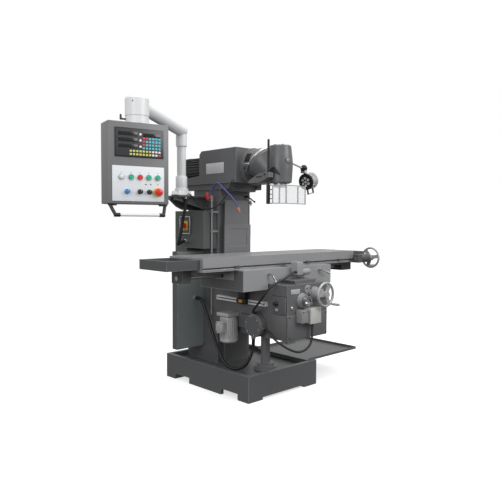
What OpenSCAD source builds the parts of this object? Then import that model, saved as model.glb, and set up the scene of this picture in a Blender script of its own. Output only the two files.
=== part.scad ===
// Universal ram-type knee mill with a double-swivel head, a fixed-angle table and a swinging control pendant.
// The origin is at the floor, at the centre of the anchor bolts. +X runs along the table to the operator's
// right, +Y runs into the machine and +Z is up. All sizes are in millimetres.

/* [Base] */
// Width of the base
base_w = 730; // [650:5:850]
// Depth of the base
base_d = 970; // [900:5:1100]
// Height of the base's rim
base_h = 190; // [170:1:200]
// Thickness of the base's walls
base_wall = 28; // [18:1:40]
// Depth of the chip basin in the top of the base
basin_depth = 40; // [20:1:50]
// Thickness of the deck under the basin
deck_t = 30; // [20:1:50]
// Height of the arches between the feet
arch_h = 18; // [10:1:40]
// Height of the arches along the base's sides
side_arch_h = 44; // [30:1:60]
// Length of a foot along each side
foot_l = 140; // [100:1:160]
// Diameter of an anchor hole
anchor_d = 22; // [14:1:30]
// Distance from an anchor hole to the sides of the base
anchor_inset = 56; // [45:1:70]

/* [Chip tray] */
// How far the tray reaches past the right side of the base
tray_w = 540; // [300:5:700]
// Depth of the tray, front to back
tray_d = 560; // [400:5:700]
// Height of the tray's lip
tray_lip = 18; // [8:1:40]
// Thickness of the tray's sheet
tray_sheet = 3; // [1.5:0.5:6]
// How far the tray lies over the base
tray_overlap = 75; // [40:1:100]

/* [Column] */
// Width of the column
col_w = 340; // [330:2:380]
// Depth of the column
col_d = 380; // [340:5:380]
// Height of the column above the base's deck
col_h = 1280; // [1200:5:1300]
// Wall thickness of the column
col_wall = 24; // [15:1:40]
// Distance of the column's front face behind the middle of the base
col_front = 75; // [60:1:80]
// Thickness of the cap on the column
cap_t = 25; // [15:1:40]
// Width of the vertical slideway's face
way_w = 250; // [220:2:300]
// Thickness of the vertical slideway
way_t = 30; // [20:1:35]
// How much narrower a dovetail is at its root
dovetail_in = 36; // [20:1:50]
// Gap between sliding faces
slide_gap = 0.3; // [0.1:0.05:0.5]

/* [Electrical cabinet] */
// How far the cabinet stands out from the column's side
cab_out = 130; // [100:1:140]
// Depth of the upper cabinet, front to back
cab_d = 365; // [300:5:380]
// Distance of the cabinet's front behind the column's front
cab_back = 15; // [5:1:30]
// Height of the cabinet's top above the floor
cab_top = 1345; // [1300:1:1370]
// Height of the upper cabinet
cab_h = 290; // [250:1:300]
// Width of the lower panel box
panel_w = 267; // [240:1:280]
// Thickness of the lower panel box
panel_t = 62; // [50:1:70]
// Height of the lower panel box
panel_h = 765; // [700:5:780]
// Height of the lower panel box above the floor
panel_z = 265; // [240:1:280]
// Thickness of the cover on the panel box
cover_t = 3; // [2:0.5:6]

/* [Knee] */
// Width of the knee
knee_w = 430; // [400:2:460]
// Length of the knee in front of the slideway
knee_l = 745; // [720:5:770]
// Height of the knee's top above the floor
knee_top = 830; // [815:1:845]
// Height of the knee
knee_h = 383; // [360:1:395]
// Wall thickness of the knee
knee_wall = 30; // [20:1:40]
// Thickness of the dovetail tongue on the knee and under the table
tongue_t = 26; // [24:1:32]
// Width of the dovetail tongue's face
tongue_w = 236; // [220:2:260]
// Diameter of the elevating screw
z_screw_d = 36; // [30:1:42]
// Diameter of the elevating pillar
pillar_d = 70; // [62:1:80]
// Height of the elevating pillar above the deck
pillar_h = 280; // [240:1:290]
// Radius of the pillar's foot flange
pillar_foot_r = 87; // [70:1:95]
// Height of the way guard above the knee
guard_plate_h = 410; // [350:1:420]

/* [Saddle] */
// Half the length of the saddle along the table
saddle_half = 465; // [420:5:480]
// Depth of the saddle, front to back
saddle_d = 460; // [420:5:470]
// Distance of the saddle's middle in front of the middle of the base
saddle_fwd = 305; // [300:1:315]
// How far the saddle's end aprons hang below the knee's top
apron_drop = 38; // [20:1:45]

/* [Table] */
// Length of the table
table_l = 1600; // [1400:10:1700]
// Width of the table
table_w = 360; // [330:2:380]
// Thickness of the table
table_h = 93; // [85:1:100]
// Height of the table's top above the floor
table_top = 1029; // [1024:1:1034]
// How far the table stands to the right of the saddle's middle
table_shift = 29; // [-40:1:60]
// Width of a T-slot's neck
slot_w = 18; // [14:1:22]
// Distance between T-slots
slot_pitch = 90; // [80:1:100]
// Length of the left coolant trough
trough_left = 259; // [200:1:300]
// Length of the right coolant trough
trough_right = 180; // [160:1:190]
// Height of the coolant troughs
trough_h = 64; // [50:1:70]
// Diameter of the leadscrews
screw_d = 30; // [24:1:32]
// Outside diameter of a handwheel
wheel_d = 180; // [160:2:190]

/* [Ram] */
// Width of the ram
ram_w = 370; // [350:2:380]
// Height of the ram
ram_h = 275; // [262:1:285]
// Length of the ram
ram_l = 435; // [400:5:470]
// Height of the drive axis above the floor
ram_axis = 1682; // [1676:1:1690]
// How far the ram's nose stands in front of the middle of the base
ram_nose = 147; // [140:1:155]
// Radius of the drive motor
motor_r = 118; // [100:1:121]
// Length of the drive motor
motor_l = 362; // [300:1:380]
// Length of the ram's low tail beside the motor
tail_l = 190; // [150:5:220]

/* [Head] */
// Radius of the swivel faces
swivel_r = 136; // [132:1:138]
// Radius of the milling head
head_r = 80; // [74:1:82]
// Height of the milling head
head_h = 260; // [250:1:265]
// Distance from the ram's nose to the spindle axis
spindle_reach = 278; // [274:1:282]
// Diameter of the spindle
spindle_d = 70; // [60:1:76]
// Diameter of the spindle's nose
nose_d = 96; // [88:1:110]
// Large diameter of the spindle's taper
taper_d = 44.45; // [31.75:0.05:57.15]

/* [Pendant] */
// Width of the pendant's case
pend_w = 414; // [400:1:430]
// Height of the pendant's case
pend_h = 530; // [510:1:550]
// Depth of the pendant's case
pend_d = 158; // [150:1:170]
// Height of the case's top above the floor
pend_top = 1905; // [1890:1:1920]
// Turn of the case about its swivel, from facing the operator
pend_yaw = -13; // [-30:1:10]
// Length of the pendant's arm
arm_l = 603; // [560:1:640]
// Radius of the arm's tube
arm_r = 45; // [36:1:48]
// Radius of the pendant post's tube
post_r = 34; // [28:1:38]
// Radius of the bell on top of the case
bell_r = 80; // [70:1:85]
// Diameter of a push button
button_d = 36; // [28:1:40]

/* [Lamp and guard] */
// Radius of the work lamp
lamp_r = 58; // [50:1:64]
// Length of the work lamp
lamp_l = 90; // [70:1:110]
// Radius of the guard's rod
rod_r = 8; // [6:0.5:10]
// Height of the guard's screen
screen_h = 135; // [110:1:150]

/* [Hoses] */
// Outside diameter of the big conduits
conduit_d = 26; // [20:1:30]
// Outside diameter of the small conduits
small_conduit_d = 16; // [12:1:18]
// Outside diameter of the coolant hose
hose_d = 17; // [14:1:20]
// Diameter of the lamp cable
cable_d = 8; // [5:0.5:10]

/* [Hidden] */
$fn = 48;
lever_r = 9;
run_gap = 0.05;

deck_z = base_h - basin_depth;
col_top = deck_z + col_h;
col_back = col_front + col_d;
way_y = col_front - way_t;
side_x = -col_w / 2;
cab_x = side_x - cab_out;
cab_y = col_front + cab_back;
cab_z = cab_top - cab_h;
panel_y = cab_y + 155;

knee_front = way_y - knee_l;
knee_bottom = knee_top - knee_h;
knee_side = knee_w / 2;
screw_z_y = -285;
pillar_top = deck_z + pillar_h;

saddle_y = -saddle_fwd;
table_bottom = table_top - table_h;
saddle_top = table_bottom - slide_gap;
saddle_bottom = knee_top + slide_gap;
saddle_front = saddle_y - saddle_d / 2;
apron_z = knee_top - apron_drop;
apron_in = knee_side + 16;
table_x0 = table_shift - table_l / 2;
table_x1 = table_shift + table_l / 2;
table_front = saddle_y - table_w / 2;
table_tongue_w = 220;
table_tongue_t = tongue_t - 2;
stop_slot_z = 17;
stop_slot_h = 11;
trough_top = table_top - 11;
trough_w = table_w - 60;
screw_r = screw_d / 2;
x_screw_z = table_bottom - table_tongue_t - screw_r - 6;
x_wheel_y = table_front - 22;
x_wheel_z = table_top - 66;
x_wheel_x = table_x1 + trough_right + 36;
x_hub_r = 36;
y_screw_x = 70;
y_screw_z = knee_top - 73;
y_wheel_y = knee_front - 104;
y_housing_l = 62;
z_shaft_x = -60;
z_shaft_z = knee_top - 112;
z_worm_r = 16;
nut_l = 80;
y_travel = [-200, 80];
lock_x = [-223, 324];

ram_y0 = -ram_nose;
ram_y1 = ram_y0 + ram_l;
ram_z0 = ram_axis - ram_h / 2;
ram_z1 = ram_axis + ram_h / 2;
ram_tail = ram_y1 + tail_l;
ram_neck = 14;
guide_y = col_front - 15;
guide_w = 260;
guide_t = 30;
valve_z = 1440;
ram_lock_x = 110;
spindle_y = ram_y0 - spindle_reach;
swivel_bore = 70;
tilt_c = [0, ram_y0 - 118, ram_axis + 33];
tilt_turn = 135;
head_top = ram_axis + 130;
head_bottom = head_top - head_h;
nose_l = 36;
nose_z = head_bottom - nose_l;

bell_z = pend_top;
post_x = -400;
post_y = 238;
arm_turn = 204.3;
bell_x = post_x + arm_l * cos(arm_turn);
bell_y = post_y + arm_l * sin(arm_turn);
post_z = cab_top + 140;
flange_t = 24;
elbow_z = pend_top + 20;
arm_root_z = elbow_z + 28;
arm_end_z = pend_top + 134;
bell_h = 190;
bell_split = 52;
case_x = -15;
case_y = -pend_d / 2;
end_gap = 0.6;
plate_t = 5;
row1_z = pend_top - 356;
row2_z = pend_top - 450;
row1_x = [-137, -72, -12, 48, 111];
row2_x = [-99, -12, 52, 113];
stem_r = 10;
spigot_r = 24;

rod_x = -132;
rod_y = spindle_y - 8;
rod_z = [1390, 1850];
screen_z = rod_z[0] + 2;
pocket_z = [ram_axis + 23, ram_axis + 90];
lamp_pin_r = 6;
lamp_pivot = [head_r + 24, spindle_y - 6, ram_axis + 18];
lamp_knuckle = [250, spindle_y - 10, ram_axis - 12];
lamp_at = [266, spindle_y - 15, ram_axis - 114];

paint = [0.33, 0.335, 0.34];
light_paint = [0.57, 0.575, 0.59];
iron = [0.42, 0.42, 0.43];
steel = [0.72, 0.72, 0.73];
black = [0.07, 0.07, 0.075];
white = [0.85, 0.855, 0.86];
case_grey = [0.52, 0.52, 0.53];

// Routes of the hoses and cables, chosen by hand
pendant_route = [[-385, 203, 1436], [-385, 203, 1408], [-386, 205, 1380], [-389, 212, 1345],
    [-392, 226, 1300], [-393, 240, 1240], [-394, 254, 1180], [-396, 270, 1130], [-393, 288, 1096],
    [-380, 300, 1087], [-360, 302, 1097], [-340, 302, 1106], [-312, 302, 1106]];
power_route = [[-262, 231, 660], [-262, 203, 660], [-262, 174, 654], [-270, 130, 620], [-280, 70, 540],
    [-290, 0, 430], [-300, -80, 310], [-308, -160, 228], [-314, -240, 200], [-312, -320, 208],
    [-305, -390, 250], [-292, -430, 320], [-282, -440, 380], [-278, -440, 415], [-278, -440, 438]];
knee_route = [[10, -736, 545], [10, -736, 520], [8, -738, 490], [0, -742, 450], [-20, -744, 410],
    [-55, -744, 385],
    [-95, -740, 372], [-140, -730, 372], [-185, -715, 388], [-222, -690, 412], [-246, -650, 440],
        [-256, -605, 470],
    [-256, -572, 495], [-256, -548, 508], [-256, -534, 512], [-256, -522, 512]];
limit_route = [[0, -592, 905], [-18, -592, 905], [-45, -596, 900], [-90, -604, 886], [-140, -612, 870],
    [-190, -616, 856], [-235, -614, 842], [-275, -604, 818], [-300, -585, 785], [-310, -560, 745],
    [-310, -520, 700], [-304, -480, 662], [-294, -452, 638], [-280, -440, 625], [-264, -438, 622],
    [-246, -438, 622]];
hose_route = [[-228, 80, 1462], [-228, 79, 1482], [-228, 70, 1512], [-228, 53, 1538], [-228, 28, 1554],
    [-228, 2, 1552], [-228, -24, 1537], [-228, -58, 1511], [-228, -94, 1485], [-228, -130, 1459],
    [-228, -166, 1430], [-228, -196, 1396], [-228, -222, 1360]];
lamp_route = [[-380, 188, 1473], [-380, 174, 1473], [-378, 162, 1469], [-370, 152, 1455],
    [-352, 146, 1430], [-326, 142, 1404], [-300, 134, 1384], [-278, 118, 1370], [-262, 92, 1363],
    [-250, 60, 1363], [-236, 28, 1374], [-222, -4, 1398], [-212, -38, 1432], [-207, -70, 1472],
    [-206, -97, 1512], [-206, -112, 1544], [-203, -119, 1562], [-195, -120, 1570], [-185.6, -120, 1570]];

// Box between pairs of limits along each axis
module span(x, y, z) {
    translate([x[0], y[0], z[0]])
        cube([x[1] - x[0], y[1] - y[0], z[1] - z[0]]);
}

// Round bars along each axis, between two limits
module bar_x(x, y, z, r) {
    translate([x[0], y, z])
        rotate([0, 90, 0])
            cylinder(h = x[1] - x[0], r = r);
}
module bar_y(x, y, z, r) {
    translate([x, y[1], z])
        rotate([90, 0, 0])
            cylinder(h = y[1] - y[0], r = r);
}
module bar_z(x, y, z, r) {
    translate([x, y, z[0]])
        cylinder(h = z[1] - z[0], r = r);
}

// Round bar from one point to another
module bar_between(a, b, r, r2) {
    v = b - a;
    translate(a)
        rotate([0, acos(v[2] / norm(v)), atan2(v[1], v[0])])
            cylinder(h = norm(v), r1 = r, r2 = is_undef(r2) ? r : r2);
}

// Dovetail section with its root on the X axis and its wider face at height t
module dovetail(face, t, gap = 0) {
    root = face - dovetail_in;
    polygon([[-root / 2 - gap, -gap], [root / 2 + gap, -gap], [face / 2 + gap, t + gap],
        [-face / 2 - gap, t + gap]]);
}

// Rectangle with round corners
module round_square(w, h, r) {
    translate([-w / 2 + r, -h / 2])
        square([w - 2 * r, h]);
    translate([-w / 2, -h / 2 + r])
        square([w, h - 2 * r]);
    for (sx = [-1, 1], sy = [-1, 1])
        translate([sx * (w / 2 - r), sy * (h / 2 - r)])
            circle(r);
}

// Upright plate with round corners, from y = 0 towards -Y by t, centred on the X axis at mid height
module face_plate(w, h, t, r) {
    rotate([90, 0, 0])
        linear_extrude(t)
            round_square(w, h, r);
}

// Handwheel about the X axis: dished rim, hub, three broad spokes and a crank handle towards +X
module handwheel(handle_turn) {
    rim_r = 9;
    pitch_r = wheel_d / 2 - rim_r;
    rotate([0, 90, 0]) {
        rotate_extrude()
            translate([pitch_r, 0])
                circle(rim_r);
        translate([0, 0, -22])
            cylinder(h = 40, r = 24);
        for (k = [0, 120, 240])
            rotate([0, 0, handle_turn + k])
                translate([15, -15, -5])
                    cube([pitch_r - 15, 30, 10]);
        rotate([0, 0, handle_turn])
            translate([pitch_r - 6, 0, 0]) {
                cylinder(h = 30, r = 5);
                translate([0, 0, 26])
                    cylinder(h = 64, r = 9);
            }
    }
}

// Lever with a ball on its end, turning about the Y axis and pointing towards +X at turn 0
module lever(turn, length) {
    bar_y(0, [-34, 38], 0, lever_r);
    rotate([0, turn, 0])
        translate([0, -26, 0]) {
            bar_between([0, 0, 0], [length, -18, 0], 6, 5);
            translate([length, -18, 0])
                sphere(8);
        }
}

// Place of the pendant's case: X across its front, Y into it
module in_case() {
    translate([bell_x, bell_y, 0])
        rotate([0, 0, pend_yaw])
            children();
}

// Smooth line through a route's points, as n + 1 points
function spline(a, b, c, d, t) = 0.5 * (2 * b + (c - a) * t + (2 * a - 5 * b + 4 * c - d) * t * t
    + (3 * b - a - 3 * c + d) * t * t * t);
function route_at(p, s) = let (m = len(p) - 1, i = min(floor(s), m - 1))
    spline(i == 0 ? 2 * p[0] - p[1] : p[i - 1], p[i], p[i + 1],
        i + 2 > m ? 2 * p[m] - p[m - 1] : p[i + 2], s - i);
function smooth(p, n) = [for (i = [0:n]) route_at(p, i * (len(p) - 1) / n)];
function unit(v) = v / norm(v);
function heading(p, i) = unit(p[min(i + 1, len(p) - 1)] - p[max(i - 1, 0)]);
function square_to(v) = unit(cross(v, abs(v[2]) < 0.8 ? [0, 0, 1] : [1, 0, 0]));
function sides_of(p) = [for (i = 0, s = square_to(heading(p, 0)); i < len(p);
    s = unit(s - (s * heading(p, min(i + 1, len(p) - 1))) * heading(p, min(i + 1, len(p) - 1))),
        i = i + 1) s];
function ring(c, t, s, r,
    n) = [for (k = [0:n - 1]) c + r * (cos(360 * k / n) * s + sin(360 * k / n) * cross(t, s))];
function band(a, b, n) = [for (k = [0:n - 1]) let (m = (k + 1) % n) each [[a + k, a + m, b + m],
    [a + k, b + m, b + k]]];
function turned(faces) = [for (f = faces) [f[2], f[1], f[0]]];

// Solid round cord along a route
module cord(route, d, rings) {
    n = 8;
    p = smooth(route, rings);
    s = sides_of(p);
    points = [for (i = [0:rings]) each ring(p[i], heading(p, i), s[i], d / 2, n)];
    ends = [for (k = [1:n - 2]) each [[0, k + 1, k], [rings * n, rings * n + k, rings * n + k + 1]]];
    polyhedron(points, turned(concat([for (i = [0:rings - 1]) each band(i * n, i * n + n, n)], ends)));
}

// Ribbed hose along a route: crests and roots in turn outside, a plain bore inside
module ribbed_hose(route, d, ribs) {
    n = 8;
    m = 2 * ribs;
    p = smooth(route, m);
    s = sides_of(p);
    crest = d / 2;
    root = crest * 0.84;
    bore = crest * 0.62;
    outer = [for (i = [0:m]) each ring(p[i], heading(p, i), s[i], i % 2 == 0 ? root : crest, n)];
    inner = [for (i = [0:ribs]) each ring(p[2 * i], heading(p, 2 * i), s[2 * i], bore, n)];
    start = n * (m + 1);
    skin = [for (i = [0:m - 1]) each band(i * n, i * n + n, n)];
    lining = turned([for (i = [0:ribs - 1]) each band(start + i * n, start + i * n + n, n)]);
    front = turned(band(0, start, n));
    back = band(m * n, start + ribs * n, n);
    polyhedron(concat(outer, inner), turned(concat(skin, lining, front, back)));
}

// Floor base: a box casting with a chip basin on top, arches between its feet and four anchor holes
module base_casting() {
    hx = base_w / 2;
    hy = base_d / 2;
    boss = foot_l;
    color(paint)
        difference() {
            span([-hx, hx], [-hy, hy], [0, base_h]);
            span([-hx + base_wall, hx - base_wall], [-hy + base_wall, hy - base_wall], [deck_z, base_h + 1]);
            difference() {
                span([-hx + base_wall, hx - base_wall], [-hy + base_wall, hy - base_wall],
                    [-1, deck_z - deck_t]);
                for (sx = [-1, 1], sy = [-1, 1])
                    translate([sx * (hx - boss / 2), sy * (hy - boss / 2), deck_z / 2])
                        cube([boss, boss, deck_z + 4], center = true);
            }
            span([-hx + foot_l, hx - foot_l], [-hy - 1, hy + 1], [-1, arch_h]);
            for (sy = [-1, 1])
                translate([0, sy * (hy - foot_l - 65), side_arch_h / 2 - 0.5])
                    cube([base_w + 2, 182, side_arch_h + 1], center = true);
            for (sx = [-1, 1], sy = [-1, 1])
                bar_z(sx * (hx - anchor_inset), sy * (hy - anchor_inset), [-1, deck_z + 1], anchor_d / 2);
            bar_z(0, screw_z_y, [-1, deck_z + 1], z_screw_d / 2 + 8);
        }
}

// Sheet tray hooked over the base's right rim
module chip_tray() {
    x0 = base_w / 2 - tray_overlap;
    x1 = base_w / 2 + tray_w;
    y0 = -base_d / 2 + 15;
    y1 = y0 + tray_d;
    rim = base_h + tray_sheet + tray_lip;
    color(paint)
        difference() {
            span([x0, x1], [y0, y1], [base_h, rim]);
            span([x0 - 1, x1 - tray_sheet], [y0 + tray_sheet, y1 - tray_sheet],
                [base_h + tray_sheet, rim + 1]);
        }
}

// Hollow column with a vertical dovetail slideway and a cap
module column() {
    color(paint) {
        difference() {
            span([-col_w / 2, col_w / 2], [col_front, col_back], [deck_z, col_top - cap_t]);
            span([-col_w / 2 + col_wall, col_w / 2 - col_wall], [col_front + col_wall, col_back - col_wall],
                [deck_z - 1, col_top - cap_t - col_wall]);
        }
        span([-col_w / 2, col_w / 2], [guide_y - 3, col_back], [col_top - cap_t, col_top]);
        translate([0, col_front, deck_z])
            linear_extrude(col_h - cap_t)
                mirror([0, 1])
                    dovetail(way_w, way_t);
    }
}

// Slide block on the column's cap, with the ram's dovetail on top
module ram_guide() {
    y0 = guide_y - 100;
    y1 = col_back - 60;
    color(paint) {
        difference() {
            union() {
                span([-col_w / 2 + 15, col_w / 2 - 15], [guide_y, y1], [col_top, ram_z0 - guide_t]);
                span([-guide_w / 2 + 5, guide_w / 2 - 5], [y0, guide_y],
                    [ram_z0 - guide_t - 16, ram_z0 - guide_t]);
            }
            bar_y(ram_lock_x, [guide_y - 1, guide_y + 42], col_top + 34, lever_r + run_gap);
        }
        translate([0, y1, ram_z0 - guide_t])
            rotate([90, 0, 0])
                linear_extrude(y1 - y0)
                    dovetail(guide_w - 2 * slide_gap, guide_t - slide_gap);
    }
}

// Hollow upper cabinet with its switch plate, rear trunk and the lower panel box
module electrical_cabinet() {
    w = cover_t;
    y1 = cab_y + cab_d;
    color(paint)
        difference() {
            union() {
                span([cab_x, side_x], [cab_y, y1], [cab_z, cab_top]);
                span([cab_x, side_x], [panel_y + panel_t, y1], [panel_z, cab_z]);
                span([side_x - panel_w, side_x], [panel_y + cover_t, panel_y + panel_t],
                    [panel_z, panel_z + panel_h]);
                span([cab_x - 8, cab_x], [cab_y + 160, cab_y + 290], [cab_z + 110, cab_top - 45]);
                span([cab_x - 10, cab_x], [cab_y + 190, cab_y + 260], [cab_z + 140, cab_z + 210]);
            }
            span([cab_x + w, side_x - w], [cab_y + w, y1 - w], [cab_z + w, cab_top - w]);
            span([cab_x + w, side_x - w], [panel_y + panel_t + w, y1 - w], [panel_z + w, cab_z + w + 1]);
            span([side_x - panel_w + w, side_x - w], [panel_y, panel_y + panel_t - w],
                [panel_z + w, panel_z + panel_h - w]);
            bar_x([cab_x - 11, cab_x + w + 1], cab_y + 225, cab_z + 175, 6 + run_gap);
        }
    color(steel)
        bar_x([cab_x - 12 + end_gap, cab_x], pendant_route[12][1], pendant_route[12][2], 20);
}

// Screwed front cover of the panel box, with its conduit gland
module cabinet_panel() {
    gland = power_route[0];
    color(paint)
        difference() {
            span([side_x - panel_w + 4, side_x - 4], [panel_y, panel_y + cover_t],
                [panel_z + 4, panel_z + panel_h - 4]);
            for (sx = [12, panel_w - 12], k = [0:3])
                bar_y(side_x - sx, [panel_y - 1, panel_y + cover_t + 1],
                    panel_z + 14 + k * (panel_h - 28) / 3, 2.6);
        }
    color(black)
        bar_y(gland[0], [gland[1], panel_y], gland[2], conduit_d / 2 + 4);
}

// Hollow pillar on the deck that holds the elevating nut
module elevating_pillar() {
    bore = z_screw_d / 2 + run_gap;
    color(iron)
        difference() {
            union() {
                bar_z(0, screw_z_y, [deck_z, deck_z + 26], pillar_foot_r);
                bar_z(0, screw_z_y, [deck_z + 26, deck_z + 48], pillar_foot_r - 20);
                bar_z(0, screw_z_y, [deck_z + 48, pillar_top], pillar_d / 2);
                bar_z(0, screw_z_y, [pillar_top - 30, pillar_top], pillar_d / 2 + 8);
            }
            bar_z(0, screw_z_y, [deck_z - 1, pillar_top - 60], z_screw_d / 2 + 4);
            bar_z(0, screw_z_y, [pillar_top - 60, pillar_top + 1], bore);
            for (k = [0:3])
                rotate_about(0, screw_z_y, 45 + 90 * k)
                    bar_z(pillar_foot_r - 12, 0, [deck_z - 1, deck_z + 27], 5);
        }
}
module rotate_about(x, y, turn) {
    translate([x, y, 0])
        rotate([0, 0, turn])
            children();
}

// Gusset bracket on the column's side, flange and post of the pendant
module pendant_post() {
    fx = 100;
    color(paint) {
        span([post_x - 60, side_x], [post_y - 50, post_y + 92], [post_z - flange_t - 12, post_z - flange_t]);
        translate([0, post_y + 92, 0])
            rotate([90, 0, 0])
                linear_extrude(30)
                    polygon([[side_x, cab_top + 8], [side_x, post_z - flange_t - 12],
                        [post_x - 60, post_z - flange_t - 12],
                        [post_x - 60, post_z - flange_t - 26], [post_x + 12, cab_top + 32],
                            [post_x + 70, cab_top + 8]]);
        translate([0, post_y + 20, 0])
            rotate([90, 0, 0])
                linear_extrude(40)
                    polygon([[side_x, cab_top + 8], [side_x, post_z - flange_t - 12],
                        [post_x - 60, post_z - flange_t - 12],
                        [post_x - 60, post_z - flange_t - 34]]);
    }
    color(white) {
        translate([post_x, post_y, post_z - flange_t])
            linear_extrude(flange_t)
                round_square(fx + 40, fx, 12);
        bar_z(post_x, post_y, [post_z, post_z + 30], 52);
        bar_z(post_x, post_y, [post_z + 30, post_z + 120], 44);
        bar_z(post_x, post_y, [post_z + 120, elbow_z - 90], post_r);
        bar_z(post_x, post_y, [elbow_z - 91, elbow_z - 20], spigot_r);
    }
    color(steel)
        bar_z(pendant_route[0][0], pendant_route[0][1], [pendant_route[0][2], post_z - flange_t - 12],
            conduit_d / 2 + 3);
}

// Coolant riser on the column's left side, with clamps and a foot fitting
module coolant_pipe() {
    x = hose_route[0][0];
    y = hose_route[0][1];
    color(steel)
        bar_z(x, y, [580, 1420], 7);
    color(iron)
        for (z = [980, 1180, 1330])
            span([x - 10, side_x], [y - 9, y + 9], [z, z + 14]);
    color([0.7, 0.55, 0.25]) {
        bar_z(x, y, [540, 580], 10);
        difference() {
            union() {
                bar_z(x, y, [1418, hose_route[0][2]], 11);
                bar_x([x - 18, x], y, valve_z, 9);
            }
            bar_x([x - 19, x - 2], y, valve_z, 5 + run_gap);
        }
    }
}

// Segmented coolant hose with its nozzle
module coolant_hose() {
    color([0.33, 0.32, 0.6])
        ribbed_hose(hose_route, hose_d, 24);
    tip = hose_route[len(hose_route) - 1];
    before = hose_route[len(hose_route) - 2];
    color([0.85, 0.45, 0.2])
        bar_between(tip, tip + unit(tip - before) * 34, hose_d / 2, 4);
}

module pendant_conduit() {
    color(black)
        ribbed_hose(pendant_route, conduit_d, 34);
}

module power_conduit() {
    color(black)
        ribbed_hose(power_route, conduit_d, 46);
}

module knee_conduit() {
    color(black)
        ribbed_hose(knee_route, small_conduit_d, 34);
}

module limit_conduit() {
    color(black)
        ribbed_hose(limit_route, small_conduit_d, 36);
}

module lamp_cable() {
    color(black)
        cord(lamp_route, cable_d, 40);
}

// Red rotary knob of the main switch
module main_switch_knob() {
    y = cab_y + 225;
    z = cab_z + 175;
    color([0.7, 0.12, 0.1]) {
        bar_x([cab_x - 26, cab_x - 10 - slide_gap], y, z, 22);
        bar_x([cab_x - 26, cab_x + 2], y, z, 6);
        span([cab_x - 44, cab_x - 26], [y - 7, y + 7], [z - 24, z + 24]);
    }
}

// Coolant valve: body joined to the riser's top by its stem, and a red handle
module coolant_valve() {
    x = hose_route[0][0];
    y = hose_route[0][1];
    color([0.7, 0.12, 0.1]) {
        bar_x([x - 44, x - 3], y, valve_z, 5);
        bar_x([x - 44, x - 18 - slide_gap], y, valve_z, 8);
        span([x - 50, x - 44], [y - 10, y + 10], [valve_z - 10, valve_z + 46]);
    }
}

// Ram: hollow box casting with a dovetail groove, a chamfered back and a round nose
module ram_casting() {
    wall = 26;
    cut = 26;
    color(paint)
        difference() {
            union() {
                translate([-ram_w / 2, 0, 0])
                    rotate([90, 0, 90])
                        linear_extrude(ram_w)
                            polygon([[ram_y0, ram_z0 + 14], [ram_y0, ram_z1], [ram_y1 - cut, ram_z1],
                                [ram_y1, ram_z1 - cut],
                                [ram_y1, ram_axis - 57], [ram_tail, ram_axis - 72], [ram_tail, ram_z0 + 14]]);
                span([-ram_w / 2 + 17, ram_w / 2 - 17], [ram_y0 + 85, ram_tail],
                    [ram_z0 - guide_t + slide_gap, ram_z0 + 15]);
                bar_y(0, [ram_y0 - ram_neck, ram_y0], ram_axis, swivel_r + 6);
            }
            translate([0, ram_tail + 1, ram_z0 - guide_t])
                rotate([90, 0, 0])
                    linear_extrude(ram_tail - ram_y0 + 60)
                        dovetail(guide_w, guide_t, slide_gap);
            span([-ram_w / 2 + wall, ram_w / 2 - wall], [ram_y0 + 60, ram_y1 - 30],
                [ram_z0 + 60, ram_z1 - wall]);
            bar_y(0, [ram_y0 - ram_neck - 1, ram_y0 + 61], ram_axis, 30);
            bar_y(0, [ram_y0 - ram_neck - 1, ram_y0 - ram_neck + 22], ram_axis, swivel_bore + run_gap);
            bar_y(0, [ram_y1 - 31, ram_y1 + 1], ram_axis, 30);
            bar_y(0, [ram_y1, ram_tail + 1], ram_axis, motor_r + 8);
        }
}

// Finned drive motor on the back of the ram
module drive_motor() {
    y0 = ram_y1;
    y1 = ram_y1 + motor_l;
    color(black)
        difference() {
            union() {
                bar_y(0, [y0, y0 + 16], ram_axis, motor_r + 4);
                bar_y(0, [y0 + 16, y1 - 30], ram_axis, motor_r - 12);
                for (k = [0:29])
                    translate([0, 0, ram_axis])
                        rotate([0, 12 * k + 6, 0])
                            translate([motor_r - 17, y0 + 10, -2])
                                cube([17, motor_l - 30, 4]);
                bar_y(0, [y1 - 30, y1], ram_axis, motor_r + 3);
            }
            bar_y(0, [y0 - 1, y1 - 40], ram_axis, 56);
        }
}

// Rotor and drive shaft along the ram, with the bevel pinion in the swivel
module drive_shaft() {
    color(steel) {
        bar_y(0, [ram_y1 + 6, ram_y1 + motor_l - 50], ram_axis, 50);
        bar_y(0, [ram_y0 - 34, ram_y1 + 6], ram_axis, 20);
        translate([0, ram_y0 - 34, ram_axis])
            rotate([90, 0, 0])
                cylinder(h = 16, r1 = 40, r2 = 26);
    }
}

// Clamp lever on the front of the ram's guide
module ram_lock_lever() {
    color(black)
        translate([ram_lock_x, guide_y, col_top + 34])
            lever(35, 70);
}

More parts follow.
